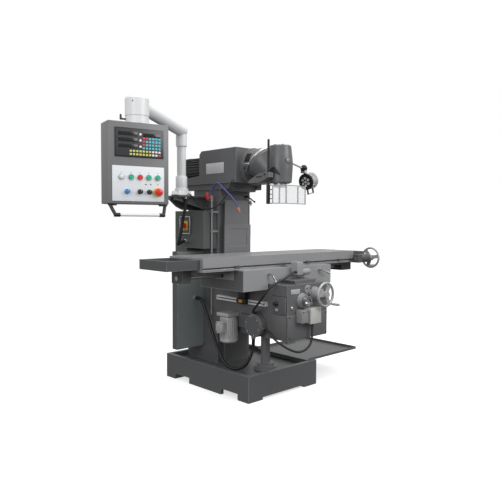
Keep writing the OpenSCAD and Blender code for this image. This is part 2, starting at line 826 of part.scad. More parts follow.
// First swivel: a drum on the ram's nose, cut square to the tilt axis
module swivel_knuckle() {
    y1 = ram_y0 - ram_neck - slide_gap;
    color(paint)
        difference() {
            union() {
                intersection() {
                    bar_y(0, [ram_y0 - 260, y1], ram_axis, swivel_r - 2);
                    tilt_side(400, -1);
                }
                intersection() {
                    translate(tilt_c)
                        rotate([tilt_turn, 0, 0])
                            translate([0, 0, -16])
                                cylinder(h = 16, r = swivel_r);
                    span([-300, 300], [ram_y0 - 400, y1], [ram_axis - 300, ram_axis + 300]);
                }
                bar_y(0, [y1 - 1, y1 + 18], ram_axis, swivel_bore);
                for (sx = [-1, 1])
                    bar_y(sx * (swivel_r - 4), [y1 - 70, y1 - 4], ram_axis + 8, 6);
            }
            for (x = [-swivel_r - 10, swivel_r - 56])
                translate([x, 0, 0])
                    rotate([90, 0, 90])
                        linear_extrude(66) {
                            polygon([[y1 - 14, pocket_z[0]], [y1 - 14, pocket_z[1]],
                                [y1 - 72, pocket_z[1]], [y1 - 72, pocket_z[0]]]);
                            polygon([[y1 - 9, ram_axis - 14], [y1 - 41, ram_axis - 14],
                                [y1 - 9, ram_axis - 46]]);
                        }
            bar_y(0, [ram_y0 - 130, y1 + 21], ram_axis, swivel_bore - 10);
            translate(tilt_c)
                rotate([tilt_turn, 0, 0])
                    translate([0, 0, -60])
                        cylinder(h = 61, r = swivel_bore + run_gap);
        }
}

// Half space on one side of the inclined swivel face, as a large block
module tilt_side(size, side, gap = 0) {
    translate(tilt_c)
        rotate([tilt_turn, 0, 0])
            translate([-size, -size, side > 0 ? gap : -2 * size])
                cube(2 * size);
}

// Milling head: a cone from the inclined face, an upright barrel and a bore for the spindle
module milling_head() {
    gap = slide_gap;
    color(paint)
        difference() {
            union() {
                intersection() {
                    bar_z(0, spindle_y, [head_bottom, head_top], head_r);
                    tilt_side(400, 1, gap);
                }
                translate([rod_x - 16, 0, 0])
                    rotate([90, 0, 90])
                        linear_extrude(44)
                            polygon([[rod_y - 20, head_bottom + 30], [rod_y - 20, head_bottom + 62],
                                [rod_y + 80, head_bottom + 62],
                                [rod_y + 188, head_bottom + 10], [rod_y + 188, head_bottom - 2],
                                    [rod_y + 90, head_bottom - 6]]);
                translate(tilt_c)
                    rotate([tilt_turn, 0, 0])
                        translate([0, 0, gap])
                            cylinder(h = 22, r = swivel_r);
                translate(tilt_c)
                    rotate([tilt_turn, 0, 0])
                        translate([0, 0, -18])
                            cylinder(h = 30, r = swivel_bore);
                intersection() {
                    translate(tilt_c)
                        rotate([tilt_turn, 0, 0])
                            translate([0, 0, gap + 22])
                                cylinder(h = 178, r1 = swivel_r - 2, r2 = head_r - 6);
                    span([-200, 200], [spindle_y - 200, ram_y0], [head_bottom, head_top]);
                }
                bar_z(0, spindle_y, [head_bottom - 8, head_bottom], head_r - 8);
                bar_y(40, [spindle_y - 76, spindle_y - 40], ram_axis + 10, 14);
                span([head_r - 30, lamp_pivot[0]], [lamp_pivot[1] - 14, lamp_pivot[1] + 14],
                    [lamp_pivot[2] - 26, lamp_pivot[2] - 14 - slide_gap]);
                bar_z(lamp_pivot[0], lamp_pivot[1], [lamp_pivot[2] - 26, lamp_pivot[2] - 14 - slide_gap], 14);
                bar_z(lamp_pivot[0], lamp_pivot[1], [lamp_pivot[2] - 20, lamp_pivot[2] + 18], lamp_pin_r);
                bar_x([rod_x + 20, 0], rod_y + 60, head_bottom + 46, 18);
            }
            bar_z(0, spindle_y, [head_bottom - 9, head_top - 30], spindle_d / 2 + 14);
            bar_z(rod_x, rod_y, [head_bottom - 9, head_bottom + 63], rod_r);
            translate(tilt_c)
                rotate([tilt_turn, 0, 0])
                    translate([0, 0, -19])
                        cylinder(h = 110, r = swivel_bore - 12);
        }
}

// Two spindle bearings pressed in the head's bore
module spindle_bearings() {
    color(steel)
        for (z = [head_bottom - 6, head_top - 60])
            difference() {
                bar_z(0, spindle_y, [z, z + 26], spindle_d / 2 + 14);
                bar_z(0, spindle_y, [z - 1, z + 27], spindle_d / 2 + run_gap);
            }
}

// Upright rod that carries the spindle guard
module guard_rod() {
    color(black)
        bar_z(rod_x, rod_y, rod_z, rod_r);
}

// Spindle with its nose, taper and drawbar hole
module spindle() {
    bore = 13;
    taper_l = 65;
    color(steel)
        difference() {
            union() {
                bar_z(0, spindle_y, [nose_z, head_bottom - 8 - slide_gap], nose_d / 2);
                bar_z(0, spindle_y, [head_bottom - 9, head_top - 32], spindle_d / 2);
            }
            bar_z(0, spindle_y, [nose_z - 1, head_top], bore);
            bar_z(0, spindle_y, [nose_z - 1, nose_z], taper_d / 2);
            translate([0, spindle_y, nose_z])
                cylinder(h = taper_l, r1 = taper_d / 2, r2 = taper_d / 2 - taper_l * 7 / 48);
        }
}

// Guard: a ladder beside the rod and clear screens between upright posts
module spindle_guard() {
    corners = [[rod_x, rod_y - 44], [rod_x + 26, rod_y - 86], [-64, rod_y - 112], [60, rod_y - 112],
        [164, rod_y - 92]];
    z1 = screen_z + screen_h;
    color([0.3, 0.3, 0.31]) {
        difference() {
            union() {
                bar_z(rod_x, rod_y, [screen_z, z1], rod_r + 6);
                for (k = [0:4])
                    span([rod_x - 3, rod_x + 3], [rod_y - 44, rod_y - rod_r - 2],
                        [screen_z + k * (screen_h - 6) / 4, screen_z + 6 + k * (screen_h - 6) / 4]);
            }
            bar_z(rod_x, rod_y, [screen_z - 1, z1 + 1], rod_r + run_gap);
        }
        for (c = corners)
            bar_z(c[0], c[1], [screen_z, z1], 5);
    }
    color([0.85, 0.87, 0.88, 0.5])
        for (k = [0:3])
            guard_screen(corners[k], corners[k + 1]);
}

// Flat screen between two posts
module guard_screen(a, b) {
    translate([a[0], a[1], screen_z + 2])
        rotate([0, 0, atan2(b[1] - a[1], b[0] - a[0])])
            translate([0, -1.5, 0])
                cube([norm(b - a), 3, screen_h - 4]);
}

// Lamp arm: a swivel on the head, a rod and the knuckle
module lamp_arm() {
    color(steel) {
        difference() {
            union() {
                bar_z(lamp_pivot[0], lamp_pivot[1], [lamp_pivot[2] - 14, lamp_pivot[2] + 14], 15);
                bar_between([lamp_pivot[0] + 12, lamp_pivot[1], lamp_pivot[2]],
                    lamp_knuckle + [-12, 0, 0], 7);
                bar_y(lamp_knuckle[0], [lamp_knuckle[1] - 8, lamp_knuckle[1] + 8], lamp_knuckle[2], 18);
            }
            bar_z(lamp_pivot[0], lamp_pivot[1], [lamp_pivot[2] - 15, lamp_pivot[2] + 15],
                lamp_pin_r + run_gap);
            bar_y(lamp_knuckle[0], [lamp_knuckle[1] - 9, lamp_knuckle[1] + 9], lamp_knuckle[2],
                lamp_pin_r + run_gap);
        }
    }
}

// Place of the lamp: its axis along -Z of the local frame, facing the work
module in_lamp() {
    translate(lamp_at)
        rotate([0, 78, 0])
            rotate([-6, 0, 0])
                children();
}

// Finned lamp body with its neck and carrying loop
module lamp_body() {
    y = lamp_knuckle[1];
    color(steel) {
        in_lamp() {
            difference() {
                cylinder(h = lamp_l, r = lamp_r - 4);
                translate([0, 0, -1])
                    cylinder(h = 12, r = lamp_r - 10);
            }
            for (k = [0:15])
                rotate([0, 0, k * 22.5])
                    translate([lamp_r - 6, -3, 12])
                        cube([6, 6, lamp_l - 16]);
        }
        for (sy = [8.3, -20.3])
            span([lamp_knuckle[0] - 12, lamp_knuckle[0] + 12], [y + sy, y + sy + 12],
                [lamp_knuckle[2] - 30, lamp_knuckle[2] + 12]);
        bar_y(lamp_knuckle[0], [y - 20, y + 20], lamp_knuckle[2], lamp_pin_r);
        bar_between([lamp_knuckle[0] + 6, y, lamp_knuckle[2] - 32], lamp_at + [24, 4, 48], 9);
        span([lamp_knuckle[0] - 12, lamp_knuckle[0] + 14], [y - 20.3, y + 20.3],
            [lamp_knuckle[2] - 36, lamp_knuckle[2] - 19]);
    }
}

// Front ring of the lamp with its diodes
module lamp_lens() {
    color(black)
        in_lamp()
            translate([0, 0, 2])
                cylinder(h = 9, r = lamp_r - 10);
}

// Knee: box casting on the column's slideway, open below, with a tongue for the saddle
module knee_casting() {
    slot = [y_screw_x - 26, y_screw_x + 26];
    color(iron)
        difference() {
            union() {
                span([-knee_side, knee_side], [knee_front, col_front - slide_gap], [knee_bottom, knee_top]);
                translate([0, way_y - 60, knee_top])
                    rotate([90, 0, 0])
                        linear_extrude(knee_l - 80)
                            dovetail(tongue_w, tongue_t);
            }
            translate([0, col_front, knee_bottom - 1])
                linear_extrude(knee_h + tongue_t + 2)
                    mirror([0, 1])
                        dovetail(way_w, way_t, slide_gap);
            span([-knee_side + knee_wall, knee_side - knee_wall], [knee_front + knee_wall, way_y - 45],
                [knee_bottom - 1, knee_top - knee_wall]);
            span(slot, [saddle_y + y_travel[0] - nut_l / 2 - 12, saddle_y + y_travel[1] + nut_l / 2 + 12],
                [knee_top - knee_wall - 1, knee_top + tongue_t + 1]);
            bar_y(y_screw_x, [knee_front - 1, knee_front + knee_wall + 1], y_screw_z, screw_r + run_gap);
            bar_y(z_shaft_x, [knee_front - 1, knee_front + knee_wall + 1], z_shaft_z, z_worm_r - 2 + run_gap);
        }
    color(iron)
        difference() {
            bar_z(0, screw_z_y, [knee_top - knee_wall - 56, knee_top - knee_wall], z_screw_d / 2 + 20);
            bar_z(0, screw_z_y, [knee_top - knee_wall - 57, knee_top - knee_wall + 1],
                z_screw_d / 2 + run_gap);
        }
    color(black)
        span([-knee_side + 14, -knee_side + 90], [knee_front + 2, knee_front + knee_wall - 2],
            [knee_bottom - 22, knee_bottom]);
}

// Plate standing on the back of the knee in front of the slideway
module way_guard() {
    y1 = way_y - 3;
    color(paint)
        difference() {
            span([-136, 136], [y1 - 14, y1], [knee_top, knee_top + guard_plate_h]);
            span([-100, 100], [y1 - 15, y1 - 9],
                [knee_top + guard_plate_h - 170, knee_top + guard_plate_h - 30]);
        }
}

// Upright feed motor on the knee's left side
module feed_motor() {
    c = [-knee_side - 78, -195];
    color(steel) {
        bar_z(c[0], c[1], [knee_bottom - 70, knee_bottom + 126], 62);
        for (k = [0:5])
            bar_z(c[0], c[1], [knee_bottom - 40 + 26 * k, knee_bottom - 34 + 26 * k], 66);
        span([c[0] - 64, -knee_side], [c[1] - 64, c[1] + 64], [knee_bottom + 126, knee_bottom + 152]);
        span([c[0] - 96, c[0] - 58], [c[1] - 34, c[1] + 34], [knee_bottom + 10, knee_bottom + 90]);
    }
}

// Feed gearbox with its round cover and conduit entries
module feed_gearbox() {
    y = -438;
    z = knee_bottom + 83;
    color(iron) {
        bar_x([-knee_side - 62, -knee_side], y, z, 82);
        bar_x([-knee_side - 72, -knee_side - 62], y, z, 76);
        span([-knee_side - 40, -knee_side], [y - 30, y + 178], [z - 30, z + 62]);
    }
    color(black) {
        bar_z(power_route[14][0], power_route[14][1], [power_route[14][2] + end_gap, z - 74],
            conduit_d / 2 + 3);
        bar_x([limit_route[15][0] + end_gap, -knee_side], limit_route[15][1], limit_route[15][2],
            small_conduit_d / 2 + 3);
        bar_y(knee_route[15][0], [knee_route[15][1] + end_gap, knee_route[15][1] + 16],
            knee_route[15][2], small_conduit_d / 2 + 3);
    }
}

// Fittings on the knee's front: cross-feed bearing housing, cap, plug and label plate
module knee_fittings() {
    f = knee_front;
    color(iron) {
        difference() {
            bar_y(y_screw_x, [f - y_housing_l, f], y_screw_z, 42);
            bar_y(y_screw_x, [f - y_housing_l - 1, f + 1], y_screw_z, screw_r + run_gap);
        }
        difference() {
            bar_y(z_shaft_x, [f - 24, f], z_shaft_z, 46);
            bar_y(z_shaft_x, [f - 25, f + 1], z_shaft_z, z_worm_r - 2 + run_gap);
        }
        bar_y(-2, [f - 10, f], knee_top - 42, 32);
        bar_y(-164, [f - 6, f], knee_top - 160, 13);
    }
    color(iron)
        span([-knee_side + 26, knee_side - 26], [f - 8, f], [knee_bottom + 18, knee_bottom + 90]);
    color(steel)
        span([-176, -84], [f - 2, f], [knee_top - 62, knee_top - 30]);
    color(iron)
        span([-knee_side - 8, -knee_side], [f + 6, f + 130], [knee_top - 200, knee_top - 80]);
    color(black)
        bar_x([-knee_side - 34, -knee_side - 8], f + 90, knee_top - 140, 14);
    measuring_scale();
}

// Measuring scale on the knee's left side
module measuring_scale() {
    color(steel)
        difference() {
            span([-knee_side - 26, -knee_side], [-520, 10], [knee_top - 160, knee_top - 128]);
            span([-knee_side - 27, -knee_side - 18], [-521, 11], [knee_top - 148, knee_top - 140]);
        }
}

// Switch box and terminal box on the knee's front, with the conduit gland
module junction_boxes() {
    f = knee_front;
    g = knee_route[0];
    color(iron)
        span([-124, -56], [f - 60, f], [knee_top - 262, knee_top - 172]);
    color(white)
        span([-44, 64], [f - 72, f], [knee_top - 272, knee_top - 166]);
    color(black)
        bar_z(g[0], g[1], [g[2], knee_top - 272], small_conduit_d / 2 + 4);
}

// Elevating screw with its worm wheel
module elevating_screw() {
    color(steel) {
        bar_z(0, screw_z_y, [pillar_top - 160, knee_top - knee_wall - 6], z_screw_d / 2);
        bar_z(0, screw_z_y, [z_shaft_z - 14, z_shaft_z + 14], -z_shaft_x - z_worm_r - 1);
    }
}

// Elevating shaft with its worm, graduated collar and clutch hub
module elevating_shaft() {
    f = knee_front;
    color(steel) {
        bar_y(z_shaft_x, [f - 60, screw_z_y - 40], z_shaft_z, z_worm_r - 2);
        bar_y(z_shaft_x, [screw_z_y - 40, screw_z_y + 40], z_shaft_z, z_worm_r);
        difference() {
            bar_y(z_shaft_x, [f - 62, f - 24 - slide_gap], z_shaft_z, 36);
            bar_y(z_shaft_x, [f - 63, f - 48], z_shaft_z, 20);
        }
        for (k = [0:2])
            translate([z_shaft_x, f - 62, z_shaft_z])
                rotate([0, 120 * k, 0])
                    span([-6, 6], [-10, 0], [22, 36]);
    }
}

// Cross-feed handwheel on its leadscrew, with the graduated dial
module y_handwheel() {
    f = knee_front;
    color(steel) {
        translate([y_screw_x, y_wheel_y, y_screw_z])
            rotate([0, 0, -90])
                handwheel(28);
        bar_y(y_screw_x, [f - y_housing_l - 24, f - y_housing_l - slide_gap], y_screw_z, 38);
        bar_y(y_screw_x, [y_wheel_y + 10, way_y - 60], y_screw_z, screw_r);
    }
}

// Saddle: cross slide between the knee and the table, with an apron at each end
module saddle_casting() {
    groove_w = tongue_w;
    y0 = saddle_front;
    y1 = saddle_front + saddle_d;
    color(light_paint)
        difference() {
            span([-saddle_half, saddle_half], [y0, y1], [apron_z, saddle_top]);
            span([-apron_in, apron_in], [y0 - 1, y1 + 1], [apron_z - 1, saddle_bottom]);
            translate([0, y1 + 1, knee_top])
                rotate([90, 0, 0])
                    linear_extrude(saddle_d + 2)
                        dovetail(groove_w, tongue_t, slide_gap);
            translate([-saddle_half - 1, saddle_y, table_bottom])
                rotate([90, 0, 90])
                    linear_extrude(2 * saddle_half + 2)
                        mirror([0, 1])
                            dovetail(table_tongue_w, table_tongue_t, slide_gap);
            span([-saddle_half - 1, saddle_half + 1], [saddle_y - screw_r - 9, saddle_y + screw_r + 9],
                [x_screw_z - screw_r - 3, table_bottom]);
            for (sx = [-1, 1])
                translate([sx * (saddle_half + apron_in + 24) / 2, saddle_y, apron_z - 1])
                    linear_extrude(saddle_bottom - apron_z + 12)
                        square([saddle_half - apron_in - 24 - 30, saddle_d - 60], center = true);
            for (x = lock_x)
                bar_y(x, [y0 - 1, y0 + 40], saddle_top - 34, lever_r + run_gap);
        }
}

// Limit switch on the saddle's front and the reader of the measuring scale
module limit_switch() {
    y = saddle_front;
    color(light_paint) {
        span([0, 60], [y - 70, y], [saddle_top - 54, saddle_top + 40]);
        bar_x([60, 160], y - 34, saddle_top - 36, 24);
    }
    color(iron) {
        span([-apron_in - 36, -apron_in - 4], [y + 200, y + 270], [knee_top - 122, apron_z]);
        span([-knee_side - 62, -knee_side - 27], [y + 190, y + 280], [knee_top - 160, knee_top - 122]);
    }
}

// Feed nuts under the saddle and under the table
module feed_nuts() {
    nut_y = [saddle_y - nut_l / 2, saddle_y + nut_l / 2];
    color([0.75, 0.6, 0.3]) {
        difference() {
            span([y_screw_x - 22, y_screw_x + 22], nut_y, [y_screw_z - 26, knee_top + tongue_t + slide_gap]);
            bar_y(y_screw_x, [nut_y[0] - 1, nut_y[1] + 1], y_screw_z, screw_r + run_gap);
        }
        difference() {
            span([-90, -10], [saddle_y - screw_r - 9, saddle_y + screw_r + 9],
                [x_screw_z - screw_r - 3, table_bottom - table_tongue_t - slide_gap - 0.4]);
            bar_x([-91, -9], saddle_y, x_screw_z, screw_r + run_gap);
        }
    }
}

// Clamp levers on the saddle's front
module saddle_lock_left() {
    color(steel)
        translate([lock_x[0], saddle_front, saddle_top - 34])
            lever(65, 60);
}
module saddle_lock_right() {
    color(steel)
        translate([lock_x[1], saddle_front, saddle_top - 34])
            lever(22, 70);
}

// Table with three T-slots, a stop slot along its front edge and a dovetail tongue
module table() {
    slot_d = 30;
    head_w = slot_w * 1.7;
    root = table_tongue_w - dovetail_in;
    color(light_paint)
        translate([table_x0, saddle_y, table_bottom])
            rotate([90, 0, 90])
                linear_extrude(table_l)
                    difference() {
                        polygon([[-table_w / 2, 0], [-root / 2, 0], [-table_tongue_w / 2, -table_tongue_t],
                            [table_tongue_w / 2, -table_tongue_t], [root / 2, 0], [table_w / 2, 0],
                            [table_w / 2, table_h], [-table_w / 2, table_h]]);
                        for (k = [-1:1])
                            translate([k * slot_pitch, table_h - slot_d]) {
                                translate([-slot_w / 2, 0])
                                    square([slot_w, slot_d + 1]);
                                translate([-head_w / 2, 0])
                                    square([head_w, slot_d * 0.44]);
                            }
                        translate([-table_w / 2 - 1, stop_slot_z])
                            square([15, stop_slot_h]);
                    }
}

// Coolant troughs at both ends, the leadscrew's brackets and the handwheel's bearing
module table_fittings() {
    wall = 12;
    depth = 22;
    z0 = trough_top - trough_h;
    ends = [[table_x0 - trough_left, table_x0], [table_x1, table_x1 + trough_right]];
    color(iron)
        for (x = ends)
            difference() {
                span(x, [saddle_y - trough_w / 2, saddle_y + trough_w / 2], [z0, trough_top]);
                span([x[0] + wall, x[1] - wall],
                    [saddle_y - trough_w / 2 + wall, saddle_y + trough_w / 2 - wall],
                    [trough_top - depth, trough_top + 1]);
            }
    color(iron)
        for (x = [[table_x0 - 70, table_x0], [table_x1, table_x1 + 130]])
            difference() {
                span(x, [saddle_y - 60, saddle_y + 60], [x_screw_z - 34, z0]);
                bar_x([x[0] - 1, x[1] + 1], saddle_y, x_screw_z, screw_r + run_gap);
            }
    color(iron)
        difference() {
            union() {
                span([table_x1, table_x1 + 50], [x_wheel_y - 30, saddle_y - trough_w / 2],
                    [x_wheel_z - 34, x_wheel_z + 34]);
                bar_x([table_x1 + 50, table_x1 + trough_right - 12], x_wheel_y, x_wheel_z, x_hub_r);
            }
            bar_x([table_x1 - 1, table_x1 + trough_right], x_wheel_y, x_wheel_z, screw_r - 4 + run_gap);
        }
    table_stops();
}

// Stop dogs in the table's front slot
module table_stops() {
    z = table_bottom + stop_slot_z;
    color(steel)
        for (x = [-480, 250, 640])
            translate([x, 0, 0]) {
                span([-14, 14], [table_front, table_front + 14], [z, z + stop_slot_h]);
                span([-16, 16], [table_front - 12, table_front], [z - 6, z + stop_slot_h + 6]);
            }
}

// Leadscrew under the table
module x_leadscrew() {
    color(steel)
        bar_x([table_x0 - 76, table_x1 + 136], saddle_y, x_screw_z, screw_r);
}

// Table handwheel on its stub shaft, with the graduated dial
module x_handwheel() {
    color(steel) {
        translate([x_wheel_x, x_wheel_y, x_wheel_z])
            handwheel(20);
        bar_x([table_x1 + 10, x_wheel_x - 10], x_wheel_y, x_wheel_z, screw_r - 4);
        bar_x([table_x1 + trough_right - 12 + slide_gap, table_x1 + trough_right + 12],
            x_wheel_y, x_wheel_z, 33);
    }
}

// Arm of the pendant: elbow on the post, sloping tube and the bell's upper half
module pendant_arm() {
    z0 = elbow_z - 90 + slide_gap;
    root = [post_x, post_y, arm_root_z];
    tip = [bell_x, bell_y, arm_end_z];
    color(white)
        difference() {
            union() {
                bar_z(post_x, post_y, [z0, z0 + 86], post_r + 8);
                bar_z(post_x, post_y, [z0 + 86, arm_root_z], post_r + 4);
                translate(root)
                    sphere(arm_r + 2);
                bar_between(root, tip, arm_r);
                bar_z(bell_x, bell_y, [bell_z + bell_split + slide_gap, bell_z + bell_h - 26], bell_r);
                translate([bell_x, bell_y, bell_z + bell_h - 26])
                    cylinder(h = 14, r1 = bell_r, r2 = bell_r - 8);
                translate([bell_x, bell_y, bell_z + bell_h - 12])
                    cylinder(h = 12, r1 = bell_r - 8, r2 = bell_r - 34);
            }
            bar_z(post_x, post_y, [z0 - 1, elbow_z - 19], spigot_r + run_gap);
            bar_z(bell_x, bell_y, [bell_z + bell_split, bell_z + bell_h - 60], spigot_r + run_gap);
        }
}

// Pendant case with the bell's lower half and its lock lever
module pendant_box() {
    wall = 3;
    hx = pend_w / 2;
    z0 = pend_top - pend_h;
    in_case() {
        color(case_grey)
            difference() {
                span([case_x - hx, case_x + hx], [case_y, -case_y], [z0, pend_top]);
                span([case_x - hx + wall, case_x + hx - wall], [case_y + wall, -case_y - wall],
                    [z0 + wall, pend_top - wall]);
                for (x = row1_x)
                    bar_y(x, [case_y - 1, case_y + wall + 1], row1_z, stem_r + run_gap);
                for (x = row2_x)
                    bar_y(x, [case_y - 1, case_y + wall + 1], row2_z, stem_r + run_gap);
            }
        color(white)
            bar_z(0, 0, [pend_top, pend_top + bell_split], bell_r - 2);
        color(white)
            bar_z(0, 0, [pend_top, pend_top + bell_h - 62], spigot_r);
        color(black) {
            bar_x([-bell_r - 26, -bell_r + 6], 0, pend_top + 28, 6);
            bar_z(-bell_r - 32, 0, [pend_top + 22, pend_top + 58], 7);
        }
    }
}

// Readout panel and control panel on the pendant's front, with the signal lamp
module pendant_panels() {
    in_case() {
        color(black)
            translate([case_x + 2, case_y, pend_top - 142])
                face_plate(332, 205, plate_t, 4);
        color([0.82, 0.84, 0.87])
            difference() {
                translate([case_x + 2, case_y, pend_top - 391])
                    face_plate(349, 244, plate_t, 8);
                for (x = row1_x)
                    bar_y(x, [case_y - plate_t - 1, case_y + 1], row1_z, stem_r + run_gap);
                for (x = row2_x)
                    bar_y(x, [case_y - plate_t - 1, case_y + 1], row2_z, stem_r + run_gap);
            }
        color([0.9, 0.9, 0.9]) {
            bar_y(row1_x[0], [case_y - plate_t - 14, case_y - plate_t], row1_z, button_d / 2);
            bar_y(row1_x[0], [case_y - plate_t, case_y + 20], row1_z, stem_r);
        }
        color([0.88, 0.74, 0.15])
            difference() {
                bar_y(row2_x[3], [case_y - plate_t - 6, case_y - plate_t], row2_z, 30);
                bar_y(row2_x[3], [case_y - plate_t - 7, case_y - plate_t + 1], row2_z, stem_r + run_gap);
            }
    }
}

// Handle bar under the pendant with its two brackets
module pendant_handle() {
    z0 = pend_top - pend_h;
    hx = pend_w / 2;
    y = case_y + 22;
    in_case() translate([case_x, 0, 0]) {
        color(black)
            for (sx = [-1, 1]) {
                span([min(sx * (hx - 60), sx * (hx - 6)), max(sx * (hx - 60), sx * (hx - 6))],
                    [y - 14, y + 14], [z0 - 12, z0]);
                bar_between([sx * (hx - 20), y, z0 - 10], [sx * (hx - 44), y - 34, z0 - 72], 11, 11);
                bar_x([min(sx * (hx - 34), sx * (hx - 74)), max(sx * (hx - 34), sx * (hx - 74))],
                    y - 34, z0 - 72, 13);
            }
        color(steel)
            bar_x([-hx + 74, hx - 74], y - 34, z0 - 72, 10);
    }
}

// Push button at one place of the upper row
module push_button(x, tint) {
    in_case()
        color(tint) {
            bar_y(x, [case_y - plate_t - 14, case_y - plate_t - 6], row1_z, button_d / 2 - 3);
            bar_y(x, [case_y - plate_t - 6, case_y + 22], row1_z, stem_r);
        }
}
module power_on_button() {
    push_button(row1_x[1], [0.1, 0.6, 0.4]);
}
module power_off_button() {
    push_button(row1_x[2], [0.75, 0.15, 0.15]);
}
module spindle_button() {
    push_button(row1_x[3], [0.1, 0.6, 0.4]);
}
module feed_button() {
    push_button(row1_x[4], [0.1, 0.6, 0.4]);
}

// Mushroom button of the emergency stop
module emergency_stop() {
    in_case()
        color([0.8, 0.1, 0.1]) {
            bar_y(row2_x[3], [case_y - plate_t - 34, case_y - plate_t - 16], row2_z, 26);
            bar_y(row2_x[3], [case_y - plate_t - 16, case_y + 24], row2_z, stem_r);
        }
}

// Rotary knob at one place of the lower row
module panel_knob(x, tint) {
    in_case()
        color(tint) {
            bar_y(x, [case_y - plate_t - 24, case_y - plate_t - slide_gap], row2_z, 17);
            bar_y(x, [case_y - plate_t - 4, case_y + 20], row2_z, stem_r);
        }
}
module speed_knob() {
    panel_knob(row2_x[0], [0.1, 0.35, 0.7]);
}
module feed_knob() {
    panel_knob(row2_x[1], black);
}
module mode_selector() {
    panel_knob(row2_x[2], black);
}

base_casting();
chip_tray();
column();
ram_guide();
electrical_cabinet();
cabinet_panel();
elevating_pillar();
pendant_post();
coolant_pipe();
coolant_hose();
pendant_conduit();
power_conduit();
lamp_cable();
main_switch_knob();
coolant_valve();
ram_casting();
drive_motor();
drive_shaft();
ram_lock_lever();
swivel_knuckle();
milling_head();
spindle_bearings();
guard_rod();
spindle();
spindle_guard();
lamp_arm();
lamp_body();
lamp_lens();
knee_casting();
way_guard();
feed_motor();
feed_gearbox();
knee_fittings();
junction_boxes();
knee_conduit();
elevating_screw();
elevating_shaft();
y_handwheel();
saddle_casting();
limit_switch();
feed_nuts();
limit_conduit();
saddle_lock_left();
saddle_lock_right();
table();
table_fittings();
x_leadscrew();
x_handwheel();
pendant_arm();
pendant_box();
pendant_panels();
pendant_handle();
power_on_button();
power_off_button();
spindle_button();
feed_button();
emergency_stop();
speed_knob();
feed_knob();
mode_selector();
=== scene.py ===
# A ram-type knee milling machine with a double-swivel head, a long T-slot table and a control pendant.
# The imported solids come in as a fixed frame; each section below dresses one piece or replaces it with a
# fuller form. Everything is in metres: +X along the table, +Y into the machine, +Z up.
import math

import bmesh
import bpy
import numpy as np
from mathutils import Matrix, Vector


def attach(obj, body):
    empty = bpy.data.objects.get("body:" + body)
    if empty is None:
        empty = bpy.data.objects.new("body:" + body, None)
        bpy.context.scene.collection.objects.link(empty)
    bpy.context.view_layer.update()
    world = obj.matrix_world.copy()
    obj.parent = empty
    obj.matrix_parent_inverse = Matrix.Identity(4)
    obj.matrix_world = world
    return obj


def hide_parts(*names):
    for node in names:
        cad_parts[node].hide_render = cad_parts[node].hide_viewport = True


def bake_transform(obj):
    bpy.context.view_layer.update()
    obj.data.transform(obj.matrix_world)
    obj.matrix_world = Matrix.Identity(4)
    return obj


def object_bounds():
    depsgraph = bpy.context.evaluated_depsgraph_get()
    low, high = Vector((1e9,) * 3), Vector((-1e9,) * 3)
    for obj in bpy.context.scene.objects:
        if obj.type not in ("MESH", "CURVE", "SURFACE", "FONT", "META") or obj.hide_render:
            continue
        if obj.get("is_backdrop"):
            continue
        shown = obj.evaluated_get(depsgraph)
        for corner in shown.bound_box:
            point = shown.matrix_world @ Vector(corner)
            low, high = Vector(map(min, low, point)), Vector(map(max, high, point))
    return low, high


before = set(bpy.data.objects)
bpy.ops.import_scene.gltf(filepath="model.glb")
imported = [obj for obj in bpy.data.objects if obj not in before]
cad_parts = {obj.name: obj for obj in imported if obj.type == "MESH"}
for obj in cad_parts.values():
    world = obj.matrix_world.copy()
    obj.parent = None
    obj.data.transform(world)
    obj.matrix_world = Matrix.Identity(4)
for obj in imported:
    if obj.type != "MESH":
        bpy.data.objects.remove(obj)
cad_low, cad_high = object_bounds()

# Camera: stands to the operator's left and front, a little above the table, almost level.
# The yaw, pitch and roll come from the straight edges of the base, column and table.
yaw, pitch, roll = math.radians(43.67), math.radians(2.89), math.radians(0.30)
camera_place = (-3.004, -3.256, 1.263)
sensor, focal_pixels, photo_pixels = 36.0, 560.5, 500
camera_data = bpy.data.cameras.new("camera")
camera_data.sensor_width = sensor
camera_data.lens = sensor * focal_pixels / photo_pixels
camera = bpy.data.objects.new("camera", camera_data)
camera.matrix_world = (
    Matrix.Translation(camera_place)
    @ Matrix.Rotation(-yaw, 4, "Z")
    @ Matrix.Rotation(math.pi / 2 - pitch, 4, "X")
    @ Matrix.Rotation(roll, 4, "Z")
)
bpy.context.collection.objects.link(camera)
bpy.context.scene.camera = camera


# Light: the surround is white to the camera; as a light it is a bright ceiling over a dim ground.
# One large soft key stands in front on the operator's right, with two weaker ones on the left and above.
def set_inputs(node, values):
    """Sets the named input sockets of a shader node."""
    for socket, value in values.items():
        node.inputs[socket].default_value = value


surround = bpy.data.worlds.new("surround")
surround.use_nodes = True
sky = surround.node_tree.nodes
sky_link = surround.node_tree.links.new
white_wall = sky["Background"]
set_inputs(white_wall, {"Color": (1, 1, 1, 1)})
heading = sky.new("ShaderNodeTexCoord")
height = sky.new("ShaderNodeSeparateXYZ")
ceiling = sky.new("ShaderNodeMapRange")
set_inputs(ceiling, {"From Min": -0.35, "From Max": 0.70, "To Min": 0.10, "To Max": 0.95})
seen = sky.new("ShaderNodeLightPath")
wall_light = sky.new("ShaderNodeMix")
set_inputs(wall_light, {"B": 1.0})
sky_link(heading.outputs["Generated"], height.inputs["Vector"])
sky_link(height.outputs["Z"], ceiling.inputs["Value"])
sky_link(seen.outputs["Is Camera Ray"], wall_light.inputs["Factor"])
sky_link(ceiling.outputs["Result"], wall_light.inputs["A"])
sky_link(wall_light.outputs["Result"], white_wall.inputs["Strength"])
bpy.context.scene.world = surround
bpy.context.scene.view_settings.view_transform = "Standard"


